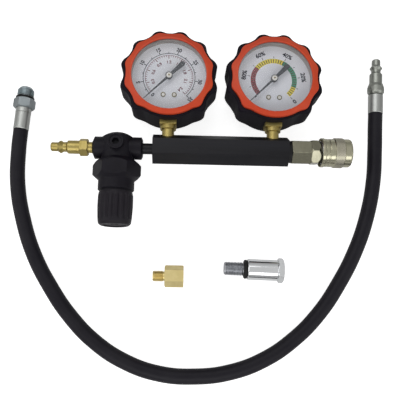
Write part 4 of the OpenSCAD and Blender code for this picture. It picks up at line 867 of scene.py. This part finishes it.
# Dial print, laid just over the dials: angles run from the right, anticlockwise
dial = {
    "print": 30.81, "thick": 0.03, "layer": 0.02, "arcStep": 2.5,
    "text": {"scale": 1.35, "weight": 0.05, "smooth": 3, "touching": 1e-8},
    "left": {
        "from": 231, "to": -47, "arcFrom": 223, "zeroRadius": 20.6, "zeroAt": 230,
        "arc": 21.9, "arcWidth": 0.5, "majorEnd": 24.6, "middleEnd": 23.4, "tickWidth": 0.65,
        "numberRadius": 26.3, "numberSize": 3.3, "top": 35, "step": 5, "fine": 0.9, "fineWidth": 0.16,
        "innerArc": 20.2, "innerWidth": 0.35, "innerMajor": 17.2, "innerMinor": 18.7,
        "innerNumber": 14.0, "innerSize": 2.6, "innerTop": 2.4, "innerStep": 0.05, "innerEvery": 6,
        "innerWide": 0.6, "innerThin": 0.42,
    },
    "right": {
        "from": 225, "to": -47,
        "bandInner": 15.6, "bandOuter": 19.8, "tickOuter": 22.0, "tickInner": 20.5, "tickWidth": 0.5,
        "numberRadius": 25.4, "numberSize": 3.8, "longer": 0.8,
        "bands": [(0, 10, "bandYellow"), (10, 40, "bandGreen"), (40, 70, "bandYellow"),
                  (70, 100, "bandRed")],
        "hatch": (1.2, 99, 2.45), "hatchWidth": 0.75, "hatchInset": 0.3,
    },
}


def dialAngle(look, share):
    return look["from"] + (look["to"] - look["from"]) * share


def dialArc(bm, inner, outer, first, last):
    steps = max(2, int(abs(last - first) / dial["arcStep"]))
    height = dial["print"] * mm
    part = bmesh.new()
    bmesh.ops.create_grid(part, x_segments=steps, y_segments=1, size=1)
    for vert in part.verts:
        angle = math.radians(first + (last - first) * (vert.co.x + 1) / 2)
        vert.co = aroundZ((outer if vert.co.y > 0 else inner) * mm, height, angle)
    faces = bmesh.ops.extrude_face_region(part, geom=part.faces[:])
    raised = [item for item in faces["geom"] if isinstance(item, bmesh.types.BMVert)]
    bmesh.ops.translate(part, vec=(0, 0, dial["thick"] * mm), verts=raised)
    bmesh.ops.recalc_face_normals(part, faces=part.faces)
    joinInto(bm, part)


def dialTick(bm, inner, outer, degrees, width, layer=0):
    part = bmesh.new()
    bmesh.ops.create_cube(part, size=1)
    bmesh.ops.scale(part, vec=Vector((outer - inner, width, dial["thick"])) * mm, verts=part.verts)
    height = dial["print"] + dial["thick"] / 2 + layer * dial["layer"]
    bmesh.ops.translate(part, vec=Vector(((inner + outer) / 2, 0, height)) * mm, verts=part.verts)
    bmesh.ops.rotate(part, cent=(0, 0, 0), matrix=Matrix.Rotation(math.radians(degrees), 3, "Z"),
                     verts=part.verts)
    joinInto(bm, part)


def dialNumber(bm, label, radius, degrees, size):
    text = dial["text"]
    curve = bpy.data.curves.new("number", "FONT")
    curve.body = label
    curve.align_x = "CENTER"
    curve.align_y = "CENTER"
    curve.size = size * mm * text["scale"]
    curve.offset = text["weight"] * size * mm
    curve.extrude = dial["thick"] / 2 * mm
    curve.resolution_u = text["smooth"]
    helper = bpy.data.objects.new("number", curve)
    mesh = bpy.data.meshes.new_from_object(helper)
    turnIt = Matrix.Rotation(math.radians(degrees - 90), 4, "Z")
    height = (dial["print"] + dial["thick"] / 2) * mm
    mesh.transform(turnIt @ Matrix.Translation((0, radius * mm, height)))
    bm.from_mesh(mesh)
    bpy.data.objects.remove(helper)
    bpy.data.curves.remove(curve)
    bpy.data.meshes.remove(mesh)


def finishPrint(name, bm, ink, side):
    bmesh.ops.remove_doubles(bm, verts=bm.verts, dist=dial["text"]["touching"])
    overGauge(bm, side)
    finishPiece(name, bm, ink, "tester")


def leftPrint():
    look = dial["left"]
    black = bmesh.new()
    half = look["arcWidth"] / 2
    dialArc(black, look["arc"] - half, look["arc"] + half, look["arcFrom"], look["to"])
    dialNumber(black, "0", look["zeroRadius"], look["zeroAt"], look["numberSize"])
    for mark in range(1, 2 * look["top"] // look["step"] + 1):
        value = mark * look["step"] / 2
        angle = dialAngle(look, value / look["top"])
        end = look["majorEnd"] if mark % 2 == 0 else look["middleEnd"]
        dialTick(black, look["arc"], end, angle, look["tickWidth"])
        if mark % 2 == 0:
            dialNumber(black, str(int(value)), look["numberRadius"], angle, look["numberSize"])
    for mark in range(2, look["top"] * 2 + 1):
        angle = dialAngle(look, mark / look["top"] / 2)
        dialTick(black, look["arc"], look["arc"] + look["fine"], angle, look["fineWidth"])
    finishPrint("leftDialBlack", black, "inkBlack", "left")
    red = bmesh.new()
    half = look["innerWidth"] / 2
    dialArc(red, look["innerArc"] - half, look["innerArc"] + half, look["arcFrom"], look["to"])
    fine = round(look["innerTop"] / look["innerStep"])
    for mark in range(2, fine + 1):
        major = mark % look["innerEvery"] == 0
        angle = dialAngle(look, mark / fine)
        inner = look["innerMajor"] if major else look["innerMinor"]
        dialTick(red, inner, look["innerArc"], angle, look["innerWide"] if major else look["innerThin"])
        if major:
            label = "%.1f" % (mark * look["innerStep"])
            dialNumber(red, label, look["innerNumber"], angle, look["innerSize"])
    finishPrint("leftDialRed", red, "inkRed", "left")


def rightPrint():
    look = dial["right"]
    for index, (low, high, ink) in enumerate(look["bands"]):
        band = bmesh.new()
        first = dialAngle(look, 1 - low / 100)
        last = dialAngle(look, 1 - high / 100)
        dialArc(band, look["bandInner"], look["bandOuter"], first, last)
        finishPrint("rightDialBand" + "ABCD"[index], band, ink, "right")
    black = bmesh.new()
    for mark in range(11):
        angle = dialAngle(look, 1 - mark / 10)
        outer = look["tickOuter"] + (look["longer"] if mark % 2 == 0 else 0)
        dialTick(black, look["tickInner"], outer, angle, look["tickWidth"])
        if mark % 2 == 0 and mark < 10:
            label = str(mark * 10) + ("%" if mark else "")
            dialNumber(black, label, look["numberRadius"], angle, look["numberSize"])
    finishPrint("rightDialBlack", black, "inkBlack", "right")
    hatch = bmesh.new()
    low, high, step = look["hatch"]
    inner = look["bandInner"] + look["hatchInset"]
    outer = look["bandOuter"] - look["hatchInset"]
    value = low
    while value < high:
        angle = dialAngle(look, 1 - value / 100)
        dialTick(hatch, inner, outer, angle, look["hatchWidth"], 2)
        value += step
    finishPrint("rightDialHatch", hatch, "inkHatch", "right")


leftPrint()
rightPrint()

# White caps on the pointer hubs and the dial screws, and the hub's dark dot, as (height, radius) rows
caps = {
    "hub": [(35.8, 2.35), (36.0, 2.35), (36.15, 2.2), (36.2, 1.9), (36.2, 0)],
    "dot": [(36.2, 0.75), (36.32, 0.7), (36.4, 0.4), (36.42, 0)],
    "screw": [(31.3, 1.4), (31.45, 1.35), (31.6, 1.1), (31.68, 0.6), (31.7, 0)],
    "screwAt": ((-4.65, -15.6), (4.65, -15.6)),
    "around": 48,
}


def capAt(name, profile, centre, finish, body):
    rows = len(profile)

    def point(column, row):
        height, radius = profile[row - 1] if row else (profile[0][0], 0)
        angle = column * 2 * math.pi / caps["around"]
        return Vector((centre.x, centre.y, 0)) + aroundZ(radius * mm, height * mm, angle)

    finishPiece(name, sheet(caps["around"], rows, point), finish, body)


for side in sides:
    centre = gaugeCentre(side)
    capAt(side + "HubCap", caps["hub"], centre, "hubWhite", side + "_pointer_set")
    capAt(side + "HubDot", caps["dot"], centre, "hubDot", side + "_pointer_set")
    for index, (across, along) in enumerate(caps["screwAt"]):
        at = centre + Vector((across, along, 0)) * mm
        capAt(side + "ScrewCap" + "AB"[index], caps["screw"], at, "hubWhite", "tester")
print("dials: done")

# White floor that keeps a soft shadow
floor = {"size": 6.0, "white": (0.62, 0.62, 0.62), "roughness": 0.7, "lift": 0.84, "mirror": 0.25}


def mathNode(tree, operation, first, second):
    node = tree.nodes.new("ShaderNodeMath")
    node.operation = operation
    for socket, value in zip(node.inputs, (first, second)):
        if isinstance(value, (int, float)):
            socket.default_value = value
        else:
            tree.links.new(value, socket)
    return node.outputs[0]


def backgroundRays(tree, mirrorShare):
    # camera and glass rays see the plain background, mirror rays a share of it
    path = tree.nodes.new("ShaderNodeLightPath")
    direct = mathNode(tree, "MAXIMUM", path.outputs["Is Camera Ray"], path.outputs["Is Transmission Ray"])
    mirror = mathNode(tree, "MULTIPLY", path.outputs["Is Glossy Ray"], mirrorShare)
    return mathNode(tree, "MAXIMUM", direct, mirror)


# Brightness of the sky that mirrors see, from straight down to straight up, and the light it gives
sky = {"stops": [(0.0, 0.4), (0.12, 0.1), (0.5, 0.3), (0.7, 0.5), (0.87, 0.6), (1.0, 0.6)],
       "strength": (0.30, 1.0)}


def skyShare(tree):
    coords = tree.nodes.new("ShaderNodeTexCoord")
    parts = tree.nodes.new("ShaderNodeSeparateXYZ")
    ramp = tree.nodes.new("ShaderNodeValToRGB")
    while len(ramp.color_ramp.elements) < len(sky["stops"]):
        ramp.color_ramp.elements.new(0.5)
    for element, (position, level) in zip(ramp.color_ramp.elements, sky["stops"]):
        element.position = position
        element.color = (level, level, level, 1)
    tree.links.new(coords.outputs["Generated"], parts.inputs["Vector"])
    tree.links.new(parts.outputs["Z"], ramp.inputs["Fac"])
    return ramp.outputs["Color"]


def makeFloor():
    bm = bmesh.new()
    bmesh.ops.create_grid(bm, x_segments=1, y_segments=1, size=floor["size"] / 2)
    mesh = meshOf("tableTop", bm)
    material, tree, shader = newFinish("tableWhite", floor["white"], 0, floor["roughness"])
    lift = mathNode(tree, "MULTIPLY", backgroundRays(tree, floor["mirror"]), floor["lift"])
    shader.inputs["Emission Color"].default_value = (1, 1, 1, 1)
    tree.links.new(lift, shader.inputs["Emission Strength"])
    mesh.materials.append(material)
    newObject("tableTop", mesh)


makeFloor()

# Soft studio light
world = bpy.data.worlds.new("studio")
scene.world = world
world.use_nodes = True
background = world.node_tree.nodes["Background"]
background.inputs["Color"].default_value = (1, 1, 1, 1)
seen = backgroundRays(world.node_tree, skyShare(world.node_tree))
strength = rangeOf(world.node_tree, seen, *sky["strength"])
world.node_tree.links.new(strength, background.inputs["Strength"])
lampTarget = Vector((0, -0.02, 0.02))
lamps = {
    "frontSoft": {"at": (-0.05, -0.87, 0.68), "size": (1.3, 0.52), "power": 5.0},
    "backSoft": {"at": (-0.25, 0.55, 0.95), "size": (0.9, 0.6), "power": 2.7},
    "leftSoft": {"at": (-0.95, -0.1, 0.55), "size": (0.7, 0.7), "power": 2.2},
    "rightSoft": {"at": (0.9, -0.35, 0.6), "size": (0.7, 0.7), "power": 2.0},
}
for name, lamp in lamps.items():
    light = bpy.data.lights.new(name, "AREA")
    light.shape = "RECTANGLE"
    light.size, light.size_y = lamp["size"]
    light.energy = lamp["power"]
    lightObject = newObject(name, light)
    facing = (lampTarget - Vector(lamp["at"])).to_track_quat("-Z", "Y")
    lightObject.matrix_world = Matrix.Translation(lamp["at"]) @ facing.to_matrix().to_4x4()
print("studio: done")
